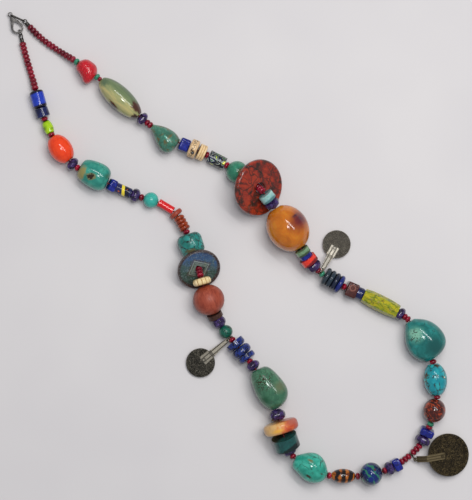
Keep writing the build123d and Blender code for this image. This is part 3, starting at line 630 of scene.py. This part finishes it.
finish, at, tint = banded("trade_bead_glass", "trade_tube", 9.6, [
    (0.0, "20224E"), (0.42, "E0CC3A"), (0.62, "14162A"), (0.9, "1A1E48")], slant=0.35)
for patch in (
    (-2.6, -0.6, 0.9, "B8582A", 0.2, 0.3, 1.5, math.radians(-30)),
    (-3.6, 2.0, 0.5, "8E939E", 0.2, 0.3),
    (2.6, 0.4, 0.8, "A2462A", 0.2, 0.3),
):
    tint = stain(finish, tint, "trade_tube", *patch)
finish.bump(finish.noise(at, 0.8), 0.03)
wear("trade_tube", finish, tint)

finish, at, tint = banded("swirled_eye_glass", "swirl_glass", 13.0, [
    (0.0, "040C26"), (0.5, "0A2468"), (1.0, "061230")], hard=False, rough=0.1)
curls = finish.swirl(at, 7.0, 5.0)
bands = finish.maths("SINE", finish.maths("MULTIPLY", finish.part(curls, "X"), 1.3))
tint = finish.mix(finish.edge(bands, 0.6, 0.9, 0.0, 0.9), tint, "2A7456")
tint = finish.mix(finish.edge(finish.noise(at, 2.0, 2, warp=2.0), 0.62, 0.68, 0.0, 0.8), tint, "4E9E98")
for patch in (
    (-0.6, -2.6, 2.2, "0A2670", 0.3, 0.1),
    (1.8, 3.2, 1.2, "4A2A30", 0.4, 0.3),
):
    tint = stain(finish, tint, "swirl_glass", *patch)
wear("swirl_glass", finish, tint)

TILE = 3.4
finish = Finish("mosaic_glass", rough=0.28, coat=0.3)
at = bead_place(finish, "mosaic_tube")
tile = finish.cells(at, TILE)
flower = finish.ramp(tile, [(0.0, "080C14"), (0.11, "C6CEBA"), (0.14, "0E1838"), (0.21, "1E6428"),
                            (0.3, "CCC62A")], hard=True)
plain = finish.ramp(tile, [(0.0, "080C14"), (0.1, "14305A"), (0.19, "C8CFC0"), (0.23, "1A5A2C")], hard=True)
tint = finish.mix(finish.edge(finish.cell_shade(at, TILE), 0.5, 0.52), flower, plain)
wear("mosaic_tube", finish, tint)

finish = Finish("lapis_glass", rough=0.2, coat=0.3)
at = finish.place()
tint = finish.ramp(finish.noise(at, 2.6, 4, warp=1.5), [
    (0.3, "050818"), (0.46, "0A1238"), (0.56, "183086"), (0.61, "24385E"), (0.67, "0A0E2C"), (0.8, "2A1622")])
finish.bump(finish.noise(at, 1.4, 4), 0.08)
wear("lapis_discs", finish, tint)

finish, at, tint = banded("coil_glass", "navy_coil", 12.2, [
    (0.0, "0E1640"), (0.04, "16246A"), (0.23, "0A0E1C"), (0.27, "161F34"), (0.48, "0A0E14"), (0.52, "22303C"),
    (0.73, "0C1218"), (0.77, "28343C"), (0.97, "10161E")])
finish.bump(finish.noise(at, 1.2, 4), 0.08)
wear("navy_coil", finish, tint)

finish = Finish("yellow_glass", rough=0.25, coat=0.3)
at = bead_place(finish, "yellow_tube")
marble = finish.noise(finish.stretch(finish.swirl(at, 3.0, 4.0), 2.6, 1.0), 1.8, 4, warp=1.0)
tint = finish.ramp(marble, [(0.28, "3E420C"), (0.38, "6A7414"), (0.48, "84901A"), (0.55, "B0A214"),
                            (0.66, "94941A"), (0.74, "545E14")])
pushed = finish.swirl(finish.stretch(at, 2.0, 1.0), 1.5, 2.0)
lines = finish.edge(finish.cells(pushed, 3.2), 0.0, 0.035, 1.0, 0.0)
tint = finish.mix(finish.maths("MULTIPLY", lines, 0.7), tint, "3E3E14")
for right, up in ((-6.0, 2.8), (-1.6, 1.0), (5.4, -3.4)):
    tint = stain(finish, tint, "yellow_tube", right, up, 1.0, "8A7A50", 0.5)
finish.bump(marble, 0.05)
wear("yellow_tube", finish, tint)

finish = Finish("cobalt_square_glass", rough=0.12, coat=0.3)
at = finish.place()
tint = finish.ramp(finish.noise(at, 2.2, 3, warp=1.0), [(0.3, "0A104C"), (0.55, "141F7C"), (0.72, "24389C")])
finish.bump(finish.noise(at, 1.0, 3), 0.04)
wear("cobalt_beads", finish, tint)

finish = Finish("dark_amethyst_glass", rough=0.18, coat=0.3)
at = finish.place()
tint = finish.ramp(finish.noise(at, 2.2, 4, warp=1.0), [(0.3, "10081C"), (0.46, "22143A"), (0.62, "423066"),
                                                        (0.74, "5A4680"), (0.84, "2A1238")])
finish.bump(finish.noise(at, 1.4, 4), 0.1)
wear("amethyst_beads", finish, tint)
print("banded glass done")

# %% [markdown]
# ## Seeds
# Seed glass is one strong colour a bead, and no two are quite alike. A coarse cloud changes the tone
# from bead to bead, and a fine one roughens the shine.


# %% Seed glass
def seed_glass(name, node, tones):
    """Three tones of one colour on a piece of seed beads."""
    finish = Finish(name, rough=0.22, coat=0.2)
    at = finish.place()
    tint = finish.ramp(finish.noise(at, 6.0, 2), list(zip((0.32, 0.5, 0.68), tones)))
    finish.bump(finish.noise(at, 0.6, 2), 0.02)
    wear(node, finish, tint)


seed_glass("crimson_seed_glass", "red_seeds", ("5C0618", "800A24", "9C1430"))
seed_glass("green_seed_glass", "green_seeds", ("1C6248", "368468", "2A7458"))
seed_glass("garnet_seed_glass", left_seeds, ("5E0A1C", "801426", "98203A"))
seed_glass("burgundy_seed_glass", right_seeds, ("540A1A", "741224", "8C1C34"))

# %% [markdown]
# ## Turquoise and other veined stones
# Turquoise is a clouded blue-green with a net of dark matrix, thick in some places and missing in
# others. The net is the distance to the edges of warped cells, kept only where a coarse cloud is
# high. The veins are also a little sunk, which the bump shows under the polish.


# %% Veined stone
CLOUD = 5.0


def veined(name, node, tones, vein, cell, width, cover, rough=0.15, pits=0.08, warp=2.0):
    """Clouded stone with a net of veins where a coarse cloud is above 1 - cover.

    The cell's size and the depth of the pits are in millimetres, the veins' width in cells.
    """
    finish = Finish(name, rough=rough, coat=0.25)
    at = bead_place(finish, node)
    tint = finish.ramp(finish.noise(at, CLOUD, 5, warp=0.6), list(zip((0.3, 0.5, 0.68), tones)))
    pushed = finish.swirl(finish.swirl(at, warp, cell * 0.8), warp * 0.3, cell * 0.2)
    net = finish.edge(finish.cells(pushed, cell), 0.0, width, 1.0, 0.0)
    where = finish.edge(finish.noise(at, CLOUD * 0.9, 3), 1 - cover - 0.06, 1 - cover + 0.1)
    veins = finish.maths("MULTIPLY", net, where)
    tint = finish.mix(veins, tint, vein)
    finish.bump(finish.maths("SUBTRACT", 1.0, veins), pits)
    finish.bump(finish.noise(at, 1.6, 4), 0.05)
    return finish, at, tint


finish, at, tint = veined(
    "block_turquoise", "turquoise_block", ("1E7066", "2C8678", "429C8A"),
    "1E3A34", 6, 0.03, 0.42, rough=0.14)
for patch in (
    (-7.8, 0.5, 3.0, "8A8450", 0.7, 0.4, 1.8, math.radians(60)),
    (8.4, -1.5, 2.0, "2A6450", 1.0),
    (-1.6, -1.4, 2.7, "6E7450", 0.4, 0.3, 1.3),
    (-1.6, -1.5, 2.1, "2A1C10", 0.25, 0.6, 1.3),
):
    tint = stain(finish, tint, "turquoise_block", *patch)
wear("turquoise_block", finish, tint)

finish, at, tint = veined(
    "weathered_turquoise", "turquoise_weathered", ("18625A", "237C74", "34908A"),
    "10201C", 3.6, 0.13, 0.6, rough=0.3, pits=0.2, warp=3.0)
for patch in (
    (1.0, -4.6, 2.6, "565438", 0.9, 0.5, 2.0),
    (-1.0, 1.8, 0.9, "14201C", 0.3, 0.7, 5.0, math.radians(10)),
):
    tint = stain(finish, tint, "turquoise_weathered", *patch)
wear("turquoise_weathered", finish, tint)

finish, at, tint = veined(
    "malachite", "malachite_round", ("0A463A", "10604E", "1C7860"),
    "052219", 2.8, 0.08, 0.55, rough=0.22)
wear("malachite_round", finish, tint)

finish, at, tint = veined(
    "green_nugget_stone", "green_nugget", ("2A5642", "3A6A50", "527E64"),
    "223628", 4.4, 0.04, 0.5, rough=0.16)
tint = pitted(finish, tint, "green_nugget", -2.6, 4.0, 5.4, 1.1, "2E240E", 0.52)
for patch in (
    (6.8, 1.0, 3.6, "5A684C", 2.2),
    (-2.0, -7.0, 2.6, "1E5236", 1.8),
):
    tint = stain(finish, tint, "green_nugget", *patch)
wear("green_nugget", finish, tint)

finish, at, tint = veined(
    "pebble_turquoise", "turquoise_pebble", ("1E7C6C", "2C9884", "46B09C"),
    "1C2A20", 5.2, 0.04, 0.5, rough=0.14)
for patch in (
    (-0.6, 4.4, 1.1, "6A6840", 0.5, 0.6, 2.6, math.radians(-20)),
    (-2.0, -5.0, 1.1, "2E2A18", 0.3, 0.7, 3.0, math.radians(-35)),
    (6.0, -3.6, 0.8, "3A3420", 0.3, 0.7, 3.2, math.radians(-25)),
    (3.4, -1.4, 0.6, "1C4A3A", 0.2, 0.7, 3.0, math.radians(30)),
):
    tint = stain(finish, tint, "turquoise_pebble", *patch)
wear("turquoise_pebble", finish, tint)

finish, at, tint = veined(
    "oval_turquoise", "turquoise_oval", ("147A86", "1C909C", "32A6A6"),
    "2A261A", 4.4, 0.09, 0.58)
for patch in (
    (-5.8, 2.4, 1.4, "33301F", 0.4, 0.7, 1.8, 1.2),
    (0.5, 8.4, 1.3, "332C1C", 0.3, 0.6, 2.2),
    (-3.2, 5.6, 0.8, "2A2A1E", 0.3, 0.6, 2.0, 0.5),
    (5.0, 1.6, 0.9, "D8CCB0", 0.2, 0.5),
):
    tint = stain(finish, tint, "turquoise_oval", *patch)
wear("turquoise_oval", finish, tint)

finish, at, tint = veined(
    "heart_turquoise", "turquoise_heart", ("0F5652", "186C68", "26827E"),
    "0E3A36", 6.5, 0.035, 0.42, rough=0.12)
for patch in (
    (-5.0, 2.6, 5.2, "4E9080", 2.0, 0.2),
    (-5.4, 3.0, 3.6, "78AE98", 1.2, 0.4),
):
    tint = stain(finish, tint, "turquoise_heart", *patch)
tint = pitted(finish, tint, "turquoise_heart", -5.6, 1.8, 4.2, 1.2, "1E3028", 0.55)
tint = stain(finish, tint, "turquoise_heart", 6.0, -4.0, 6.0, "124E4C", 3.5, 0.2)
wear("turquoise_heart", finish, tint)

finish, at, tint = veined(
    "round_green_stone", "green_round", ("236450", "2F785E", "448E72"),
    "2E4A34", 4.4, 0.04, 0.45)
tint = stain(finish, tint, "green_round", 2.4, 0.0, 1.8, "665C34", 0.8, 0.5, 1.5, 0.9)
wear("green_round", finish, tint)

finish, at, tint = veined(
    "teardrop_turquoise", "teardrop", ("2A5A4A", "3A705E", "528874"),
    "38402A", 3.6, 0.06, 0.5)
brown = finish.noise(finish.swirl(at, 2.0, 3.0), 3.4, 4, 0.6)
tint = finish.mix(finish.edge(brown, 0.5, 0.62, 0.0, 0.85), tint, "625430")
tint = stain(finish, tint, "teardrop", 1.4, -0.4, 0.8, "5EB8A2", 0.5, 0.5, 3.0, math.radians(-60))
wear("teardrop", finish, tint)

finish = Finish("green_agate", rough=0.12, coat=0.35)
at = bead_place(finish, "agate_barrel")
slope = finish.maths("MULTIPLY", finish.part(at, "Y"), 0.09)
layer = finish.maths("ADD", slope, finish.noise(finish.stretch(at, 4.0, 1.0), 3.6, 4, warp=0.6))
tint = finish.ramp(layer, [(0.0, "56684A"), (0.3, "6E7E58"), (0.5, "949868"), (0.72, "B8AE74"),
                           (1.0, "9C9C6C")])
for patch in (
    (-3.8, -4.6, 1.7, "2E2014", 0.6, 0.5, 2.6, math.radians(-48)),
    (10.4, -6.0, 2.8, "46281C", 0.8, 0.5, 1.7, math.radians(-50)),
    (9.0, -12.4, 3.0, "3A2418", 0.6, 0.4),
    (-9.0, 9.5, 3.0, "54684C", 1.6, 0.3),
):
    tint = stain(finish, tint, "agate_barrel", *patch)
finish.bump(finish.noise(at, 2.0, 3), 0.02)
wear("agate_barrel", finish, tint)
print("veined stones done")

# %% [markdown]
# ## Warm stones, bone, wood and resin
# These are mostly clouds of two or three warm tones. Amber glows because light goes into it, so it
# gets subsurface scattering. Wood has fine lines along its grain, and bone is darker in its cuts.


# %% Clouded materials
def clouded(name, node, tones, size, rough, coat, glow=0.0, along=1.0, warp=1.0):
    """Three tones in a cloud, drawn out along the thread where along is above 1."""
    finish = Finish(name, rough=rough, coat=coat, glow=glow)
    at = bead_place(finish, node)
    cloud = finish.noise(finish.stretch(at, along, 1.0), size, 5, warp=warp)
    tint = finish.ramp(cloud, list(zip((0.28, 0.5, 0.72), tones)))
    finish.bump(finish.noise(at, size * 0.3, 4), 0.04)
    return finish, at, tint


finish, at, tint = clouded("amber", "amber_oval", ("AA5A0A", "BE6C12", "CC7E1E"), 9.0, 0.14, 0.4, glow=0.15)
for patch in (
    (6.4, 4.6, 5.6, "7A2E1C", 4.0, 0.15, 1.3, 1.0),
    (6.8, 5.6, 3.4, "5A1A24", 2.4, 0.3),
    (4.0, 7.4, 1.0, "2E1A30", 0.8, 0.6, 2.4, 0.6),
    (7.2, 6.0, 0.8, "34182C", 0.7, 0.6, 2.2, -0.7),
):
    tint = stain(finish, tint, "amber_oval", *patch)
wear("amber_oval", finish, tint)

finish, at, tint = clouded("coral_resin", "coral_nugget", ("8C0410", "B80A1C", "D02030"), 2.2, 0.1, 0.4,
                           glow=0.05, warp=3.0)
# Painted shade: a dark line along the crease between the lobes.
tint = stain(finish, tint, "coral_nugget", 0.4, -2.4, 0.5, "78040C", 0.5, 0.3, 5.0, math.radians(20))
# Painted highlights: pale pink glint streaks over the red.
pink_glints = finish.noise(finish.stretch(picture_place(finish, "coral_nugget"), 0.5, 1.8), 1.0, 3, warp=1.0)
tint = finish.mix(finish.edge(pink_glints, 0.62, 0.7, 0.0, 0.6), tint, "F26468")
finish.bump(finish.noise(at, 2.6, 3, warp=1.5), 0.5)
wear("coral_nugget", finish, tint)

finish, at, tint = clouded("carnelian", "carnelian_ribbed", ("5E1A06", "862F0E", "A6461A"), 2.4, 0.2, 0.4)
wear("carnelian_ribbed", finish, tint)

finish, at, tint = clouded("brick_clay", "brick_disc", ("78281A", "963A26", "AC5038"), 1.6, 0.4, 0.1)
wear("brick_disc", finish, tint)

finish, at, tint = clouded("old_bronze", "bronze_disc", ("1C0E0A", "382018", "543020"), 0.9, 0.4, 0.0)
wear("bronze_disc", finish, tint)

finish, at, tint = clouded("stained_wood", "wood_round", ("7C3020", "94422E", "A8523C"), 1.6, 0.45, 0.05,
                           along=7.0)
rings = finish.noise(finish.stretch(picture_place(finish, "wood_round"), 0.7, 9.0, 1.0), 1.0, 3)
tint = finish.mix(finish.edge(rings, 0.5, 0.72, 0.0, 0.45), tint, "641E12")
finish.bump(rings, 0.04)
wear("wood_round", finish, tint)

finish, at, tint = clouded("red_jasper", "jasper_oval", ("200A08", "40140E", "641E12"), 3.6, 0.16, 0.4,
                           warp=2.0)
streaks = finish.noise(finish.stretch(at, 1.0, 2.0), 2.6, 4, warp=2.0)
tint = finish.mix(finish.edge(streaks, 0.5, 0.62, 0.0, 0.9), tint, "A23C16")
wear("jasper_oval", finish, tint)

finish = Finish("tiger_eye", rough=0.1, coat=0.3)
at = bead_place(finish, "tiger_oval")
moved = finish.swirl(finish.swirl(at, 4.5, 4.0), 1.5, 1.6)
waves = finish.maths("SINE", finish.maths("MULTIPLY", finish.part(moved, "X"), 1.5))
shade = finish.edge(finish.noise(at, 3.0, 3), 0.34, 0.56, 0.3, 1.0)
lines = finish.maths("MULTIPLY", finish.edge(waves, -0.5, 0.8), shade)
tint = finish.ramp(lines, [(0.0, "120806"), (0.25, "2E1508"), (0.5, "6A330E"), (0.75, "955014"),
                           (1.0, "A8621C")])
wear("tiger_oval", finish, tint)

finish = Finish("banded_agate", rough=0.3, coat=0.15)
at = picture_place(finish, "agate_disc")
slope = finish.maths("MULTIPLY", finish.part(at, "X"), 0.045)
across = finish.maths("ADD", slope, finish.noise(at, 4.0, 4, warp=1.0))
tint = finish.ramp(across, [(0.05, "C49A62"), (0.3, "D4AC70"), (0.48, "D08A48"), (0.62, "C8602E"),
                            (0.8, "B04024"), (0.98, "A8503C")])
for patch in (
    (-2.0, -1.6, 1.5, "DCA440", 0.8, 0.4, 2.8, 0.35),
    (6.0, 3.6, 2.0, "AC5A48", 1.2, 0.4, 1.8, 0.3),
    (-6.4, -3.6, 0.4, "4A2A14", 0.2, 0.8, 5.0, -0.5),
    (-4.0, 2.4, 0.3, "7A5430", 0.2, 0.8, 5.0, 0.4),
):
    tint = stain(finish, tint, "agate_disc", *patch)
finish.bump(finish.noise(at, 2.0, 5), 0.15)
wear("agate_disc", finish, tint)


def bone(name, node, tones, groove):
    """Bone that is darker in the cuts lying nearer the thread than the groove's radius."""
    finish, at, tint = clouded(name, node, tones, 2.6, 0.38, 0.1)
    deep = finish.distance(finish.part(at, "Y"), finish.part(at, "Z"))
    tint = finish.mix(finish.edge(deep, groove - 0.5, groove + 0.1, 0.9, 0.0), tint, "8E6838")
    dirt = finish.edge(finish.noise(at, 1.1, 5, warp=0.8), 0.6, 0.72, 0.0, 0.45)
    return finish, at, finish.mix(dirt, tint, "96703E")


finish, at, tint = bone("melon_bone", "bone_melon", ("CCB27C", "E2CC96", "EEDCB2"), 4.6)
MELON_CUTS = 12.0
around = finish.maths("ARCTAN2", finish.part(at, "Z"), finish.part(at, "Y"))
waves = finish.maths("COSINE", finish.maths("MULTIPLY", around, MELON_CUTS))
cuts = finish.edge(waves, 0.55, 0.95, 0.0, 0.8)
tint = finish.mix(cuts, tint, "9A7238")
wear("bone_melon", finish, tint)
finish, at, tint = bone("stacked_bone", "bone_stack", ("CCA876", "DEC090", "EAD2A8"), 4.6)
wear("bone_stack", finish, tint)

finish, at, tint = bone("printed_bone", "bone_printed", ("C09E72", "D6B88A", "E4CAA2"), 2.0)
rows = finish.maths("ABSOLUTE", finish.part(at, "X"))
marks = finish.edge(finish.cells(finish.swirl(at, 0.8, 1.2), 1.5), 0.05, 0.12, 1.0, 0.0)
band = finish.edge(rows, 0.9, 1.2, 1.0, 0.0)
tint = finish.mix(finish.maths("MULTIPLY", marks, band), tint, "3E2418")
tint = finish.mix(finish.line(rows, 1.5, 0.08, 0.2, 0.7), tint, "A06A48")
for patch in (
    (-0.4, -2.6, 1.5, "2E2620", 0.2, 0.1),
    (-0.4, -2.6, 0.8, "7E8C94", 0.2, 0.1),
):
    tint = stain(finish, tint, "bone_printed", *patch)
wear("bone_printed", finish, tint)

finish, at, tint = clouded("maroon_cube_glass", "cube_bead", ("2C1010", "451C18", "5A2A22"), 2.0, 0.2, 0.3)
for patch in (
    (0.6, 1.2, 2.5, "7E4E42", 0.4, 0.1),
    (0.6, 1.2, 1.8, "45201A", 0.35, 0.1),
    (0.6, 1.2, 0.8, "7A3628", 0.3, 0.1),
):
    tint = stain(finish, tint, "cube_bead", *patch)
wear("cube_bead", finish, tint)
print("warm materials done")

# %% [markdown]
# ## The two big discs
# The slate disc shades from blue at its upper edge to green below. Its rim is dark, and a pale worn
# frame runs round the square hole. The donut is a brecciated jasper: broken red pieces in a dark
# brown and green ground.

# %% Slate and jasper
SLATE_HEADING = math.radians(-106.5)
SLATE_TILT = math.radians(34)
finish = Finish("slate", rough=0.38, coat=0.15)
flat = finish.place(tuple(middles["slate_disc"]), SLATE_HEADING)
at = picture_place(finish, "slate_disc")
downhill = finish.maths("DIVIDE", finish.part(flat, "X"), math.cos(SLATE_TILT))
across = finish.part(flat, "Y")
cloud = finish.noise(at, 3.0, 5, warp=1.0)
height = finish.maths("ADD", finish.maths("MULTIPLY", finish.part(at, "Y"), 0.05), cloud)
tint = finish.ramp(height, [(0.1, "22342A"), (0.35, "304A3E"), (0.52, "3A5254"), (0.75, "34547A"),
                            (1.0, "2A4468")])
# The hole stands on a corner, so both ways added up give how far out a square goes, in millimetres.
square = finish.maths("ADD", finish.maths("ABSOLUTE", downhill), finish.maths("ABSOLUTE", across))
wandering = finish.maths("ADD", square, finish.noise(at, 1.4, 4))
tint = finish.mix(finish.line(wandering, 8.2, 0.3, 0.9, 0.7), tint, "4A3A30")
tint = finish.mix(finish.edge(wandering, 6.4, 7.4, 0.75, 0.0), tint, "6E7A6A")
tint = finish.mix(finish.line(wandering, 6.3, 0.1, 0.4, 0.8), tint, "2A2A22")
tint = finish.mix(finish.line(wandering, 7.1, 0.1, 0.35, 0.8), tint, "9A9E8C")
ragged = finish.maths("MULTIPLY", finish.noise(at, 2.0, 4), 1.6)
rim = finish.maths("ADD", finish.distance(downhill, across), ragged)
tint = finish.mix(finish.edge(rim, 11.6, 13.0), tint, "351E18")
specks = finish.edge(finish.noise(at, 0.9, 5, 0.75), 0.5, 0.66, 0.0, 0.75)
tint = finish.mix(specks, tint, "78868A")
dark_specks = finish.edge(finish.noise(finish.stretch(at, 1.4, 1.4), 0.9, 5, 0.75), 0.36, 0.46, 0.7, 0.0)
tint = finish.mix(dark_specks, tint, "1E1A16")
finish.bump(finish.noise(at, 1.4, 5), 0.14)
finish.bump(finish.edge(wandering, 6.2, 7.4, 1.0, 0.0), 0.25)
wear("slate_disc", finish, tint)

finish = Finish("brecciated_jasper", rough=0.2, coat=0.25)
at = finish.place(tuple(middles["jasper_donut"]))
moved = finish.swirl(at, 3.0, 4.0)
pieces = finish.noise(moved, 6.0, 4, 0.5, warp=1.0)
tint = finish.ramp(pieces, [(0.3, "2A1C18"), (0.38, "46241C"), (0.44, "66241A"), (0.5, "83281A"),
                            (0.6, "9A351E"), (0.7, "742418"), (0.8, "44261E")])
net = finish.edge(finish.cells(finish.stretch(moved, 1.0, 1.8), 5.4), 0.0, 0.05, 1.0, 0.0)
tint = finish.mix(finish.maths("MULTIPLY", net, 0.8), tint, "241C16")
tint = finish.mix(finish.edge(finish.noise(at, 3.0, 5, warp=1.2), 0.62, 0.72, 0.0, 0.6), tint, "3C3A2C")
finish.bump(net, -0.05)
finish.bump(finish.noise(at, 2.0, 5), 0.05)
wear("jasper_donut", finish, tint)

# %% [markdown]
# ## Dark coins
# The coins are base silver that has gone almost black, with the high lines rubbed brighter. Their
# worn ornament is generic: a tangle of thin ridges where a warped cloud crosses its middle value, a
# fine grain over them, and a strap with two long grooves. The same height drives the bump and the
# colour.

# %% Old coin metal
# Middle in metres, heading in degrees, radius and half of the strap's width in millimetres.
COIN_PLACES = {
    "coin_pendant_left": ((-0.05507, -0.03871, 0.0), 176.7, 8.7, 2.8),
    "coin_pendant_front": ((0.01555, -0.18129, 0.0), -35.0, 12.8, 2.0),
    "coin_pendant_right": ((0.05364, -0.0431, 0.0), 16.7, 8.4, 2.6),
}


def coin_metal(name, node, dark, bright, strap, size, depth):
    """Tangled relief on a dark coin, with its own colour for the strap."""
    middle, heading, radius, half_strap = COIN_PLACES[node]
    finish = Finish(name, rough=0.5, metal=0.6)
    at = finish.place(middle, math.radians(heading))
    ridges = 0.0
    for width, share in ((size, 0.6), (size * 0.55, 0.5)):
        tangle = finish.noise(at, width, 3, 0.5, warp=1.6)
        ridges = finish.maths("ADD", ridges, finish.line(tangle, 0.5, 0.0, 0.05, share))
    grain = finish.noise(at, 0.5, 4, 0.7)
    height = finish.maths("ADD", finish.maths("MULTIPLY", ridges, 0.7), finish.maths("MULTIPLY", grain, 0.5))
    tint = finish.mix(finish.edge(height, 0.2, 1.0), dark, bright)
    tint = finish.mix(finish.edge(finish.noise(at, 3.0, 4), 0.5, 0.75, 0.0, 0.5), tint, dark)
    across = finish.maths("ABSOLUTE", finish.part(at, "Y"))
    near = finish.edge(across, half_strap - 0.15, half_strap + 0.15, 1.0, 0.0)
    inward = finish.edge(finish.part(at, "X"), -radius * 0.22, -radius * 0.16, 1.0, 0.0)
    on_strap = finish.maths("MULTIPLY", near, inward)
    rib_way = finish.maths("ABSOLUTE", finish.maths("SUBTRACT", across, half_strap * 0.4))
    groove = finish.edge(rib_way, half_strap * 0.02, half_strap * 0.14)
    boss = finish.turned(at, (-radius * 0.3, 0))
    outside = finish.spot(boss, half_strap * 0.6, 0.15, 0.03)
    inside = finish.spot(boss, half_strap * 0.38, 0.15, 0.03)
    ring = finish.maths("SUBTRACT", outside, inside)
    groove = finish.maths("MINIMUM", groove, finish.maths("SUBTRACT", 1.0, ring))
    patchy = finish.edge(grain, 0.3, 0.6, 0.45, 1.0)
    bail = finish.mix(finish.maths("MULTIPLY", finish.edge(groove, 0.0, 1.0, 0.35, 1.0), patchy), dark, strap)
    finish.colour(finish.mix(on_strap, tint, bail))
    finish.rough(finish.edge(grain, 0.2, 0.8, 0.6, 0.42))
    plain = finish.maths("SUBTRACT", 1.0, on_strap)
    finish.bump(finish.maths("MULTIPLY", height, plain), depth)
    finish.bump(finish.maths("MULTIPLY", groove, on_strap), 0.25)
    wear(node, finish)


coin_metal("black_coin_metal", "coin_pendant_left", "14120F", "A8A292", "A09A8C", size=1.9, depth=0.35)
coin_metal("olive_coin_metal", "coin_pendant_front", "1C160E", "95835C", "74674A", size=2.4, depth=0.5)
coin_metal("grey_coin_metal", "coin_pendant_right", "4A463F", "BEB7A6", "CFC9BA", size=1.3, depth=0.25)

ring_metal = Finish("ring_bronze", rough=0.4, metal=0.8)
at = ring_metal.place()
worn = ring_metal.noise(at, 0.8, 4)
ring_metal.colour(ring_metal.mix(ring_metal.edge(worn, 0.35, 0.7), "2A2016", "8A7A5C"))
ring_metal.bump(worn, 0.03)
wear("coin_rings", ring_metal)
print("coins done")

# %% [markdown]
# ## The clasp
# Plated steel mirrors the room, so it only needs a low roughness with fine scratches. The crimps and
# the tail link are darker plate.


# %% Plated metal and thread
def plated(name, dark, bright, rough):
    """Plate with fine scratches and a cloud of tarnish."""
    finish = Finish(name, rough=rough, metal=1.0)
    at = finish.place()
    scratches = finish.noise(finish.stretch(at, 2.0, 0.12), 1.0, 3)
    tarnish = finish.noise(at, 1.6, 4, warp=0.8)
    cloudy = finish.maths("MULTIPLY", tarnish, 0.65)
    worn = finish.maths("ADD", finish.maths("MULTIPLY", scratches, 0.35), cloudy)
    finish.colour(finish.mix(finish.edge(worn, 0.36, 0.62), dark, bright))
    finish.rough(finish.edge(scratches, 0.2, 0.8, rough * 0.7, rough * 1.5))
    finish.bump(scratches, 0.001)
    return finish


silver = plated("bright_plate", "5E5B59", "9E9A96", 0.24)
for node in ("clasp_body", "clasp_lever", "jump_ring"):
    wear(node, silver)
dark_plate = plated("dark_plate", "2A2826", "6A6662", 0.25)
for node in ("crimps", "tail_link"):
    wear(node, dark_plate)

waxed = Finish("waxed_thread", rough=0.7)
at = waxed.place()
strands = waxed.noise(waxed.stretch(at, 0.5, 0.2), 0.4, 3)
waxed.colour(waxed.mix(strands, "3A0C10", "7A1C22"))
waxed.bump(strands, 0.05)
wear(frame["nodes"]["thread"], waxed)
print("metal and thread done")
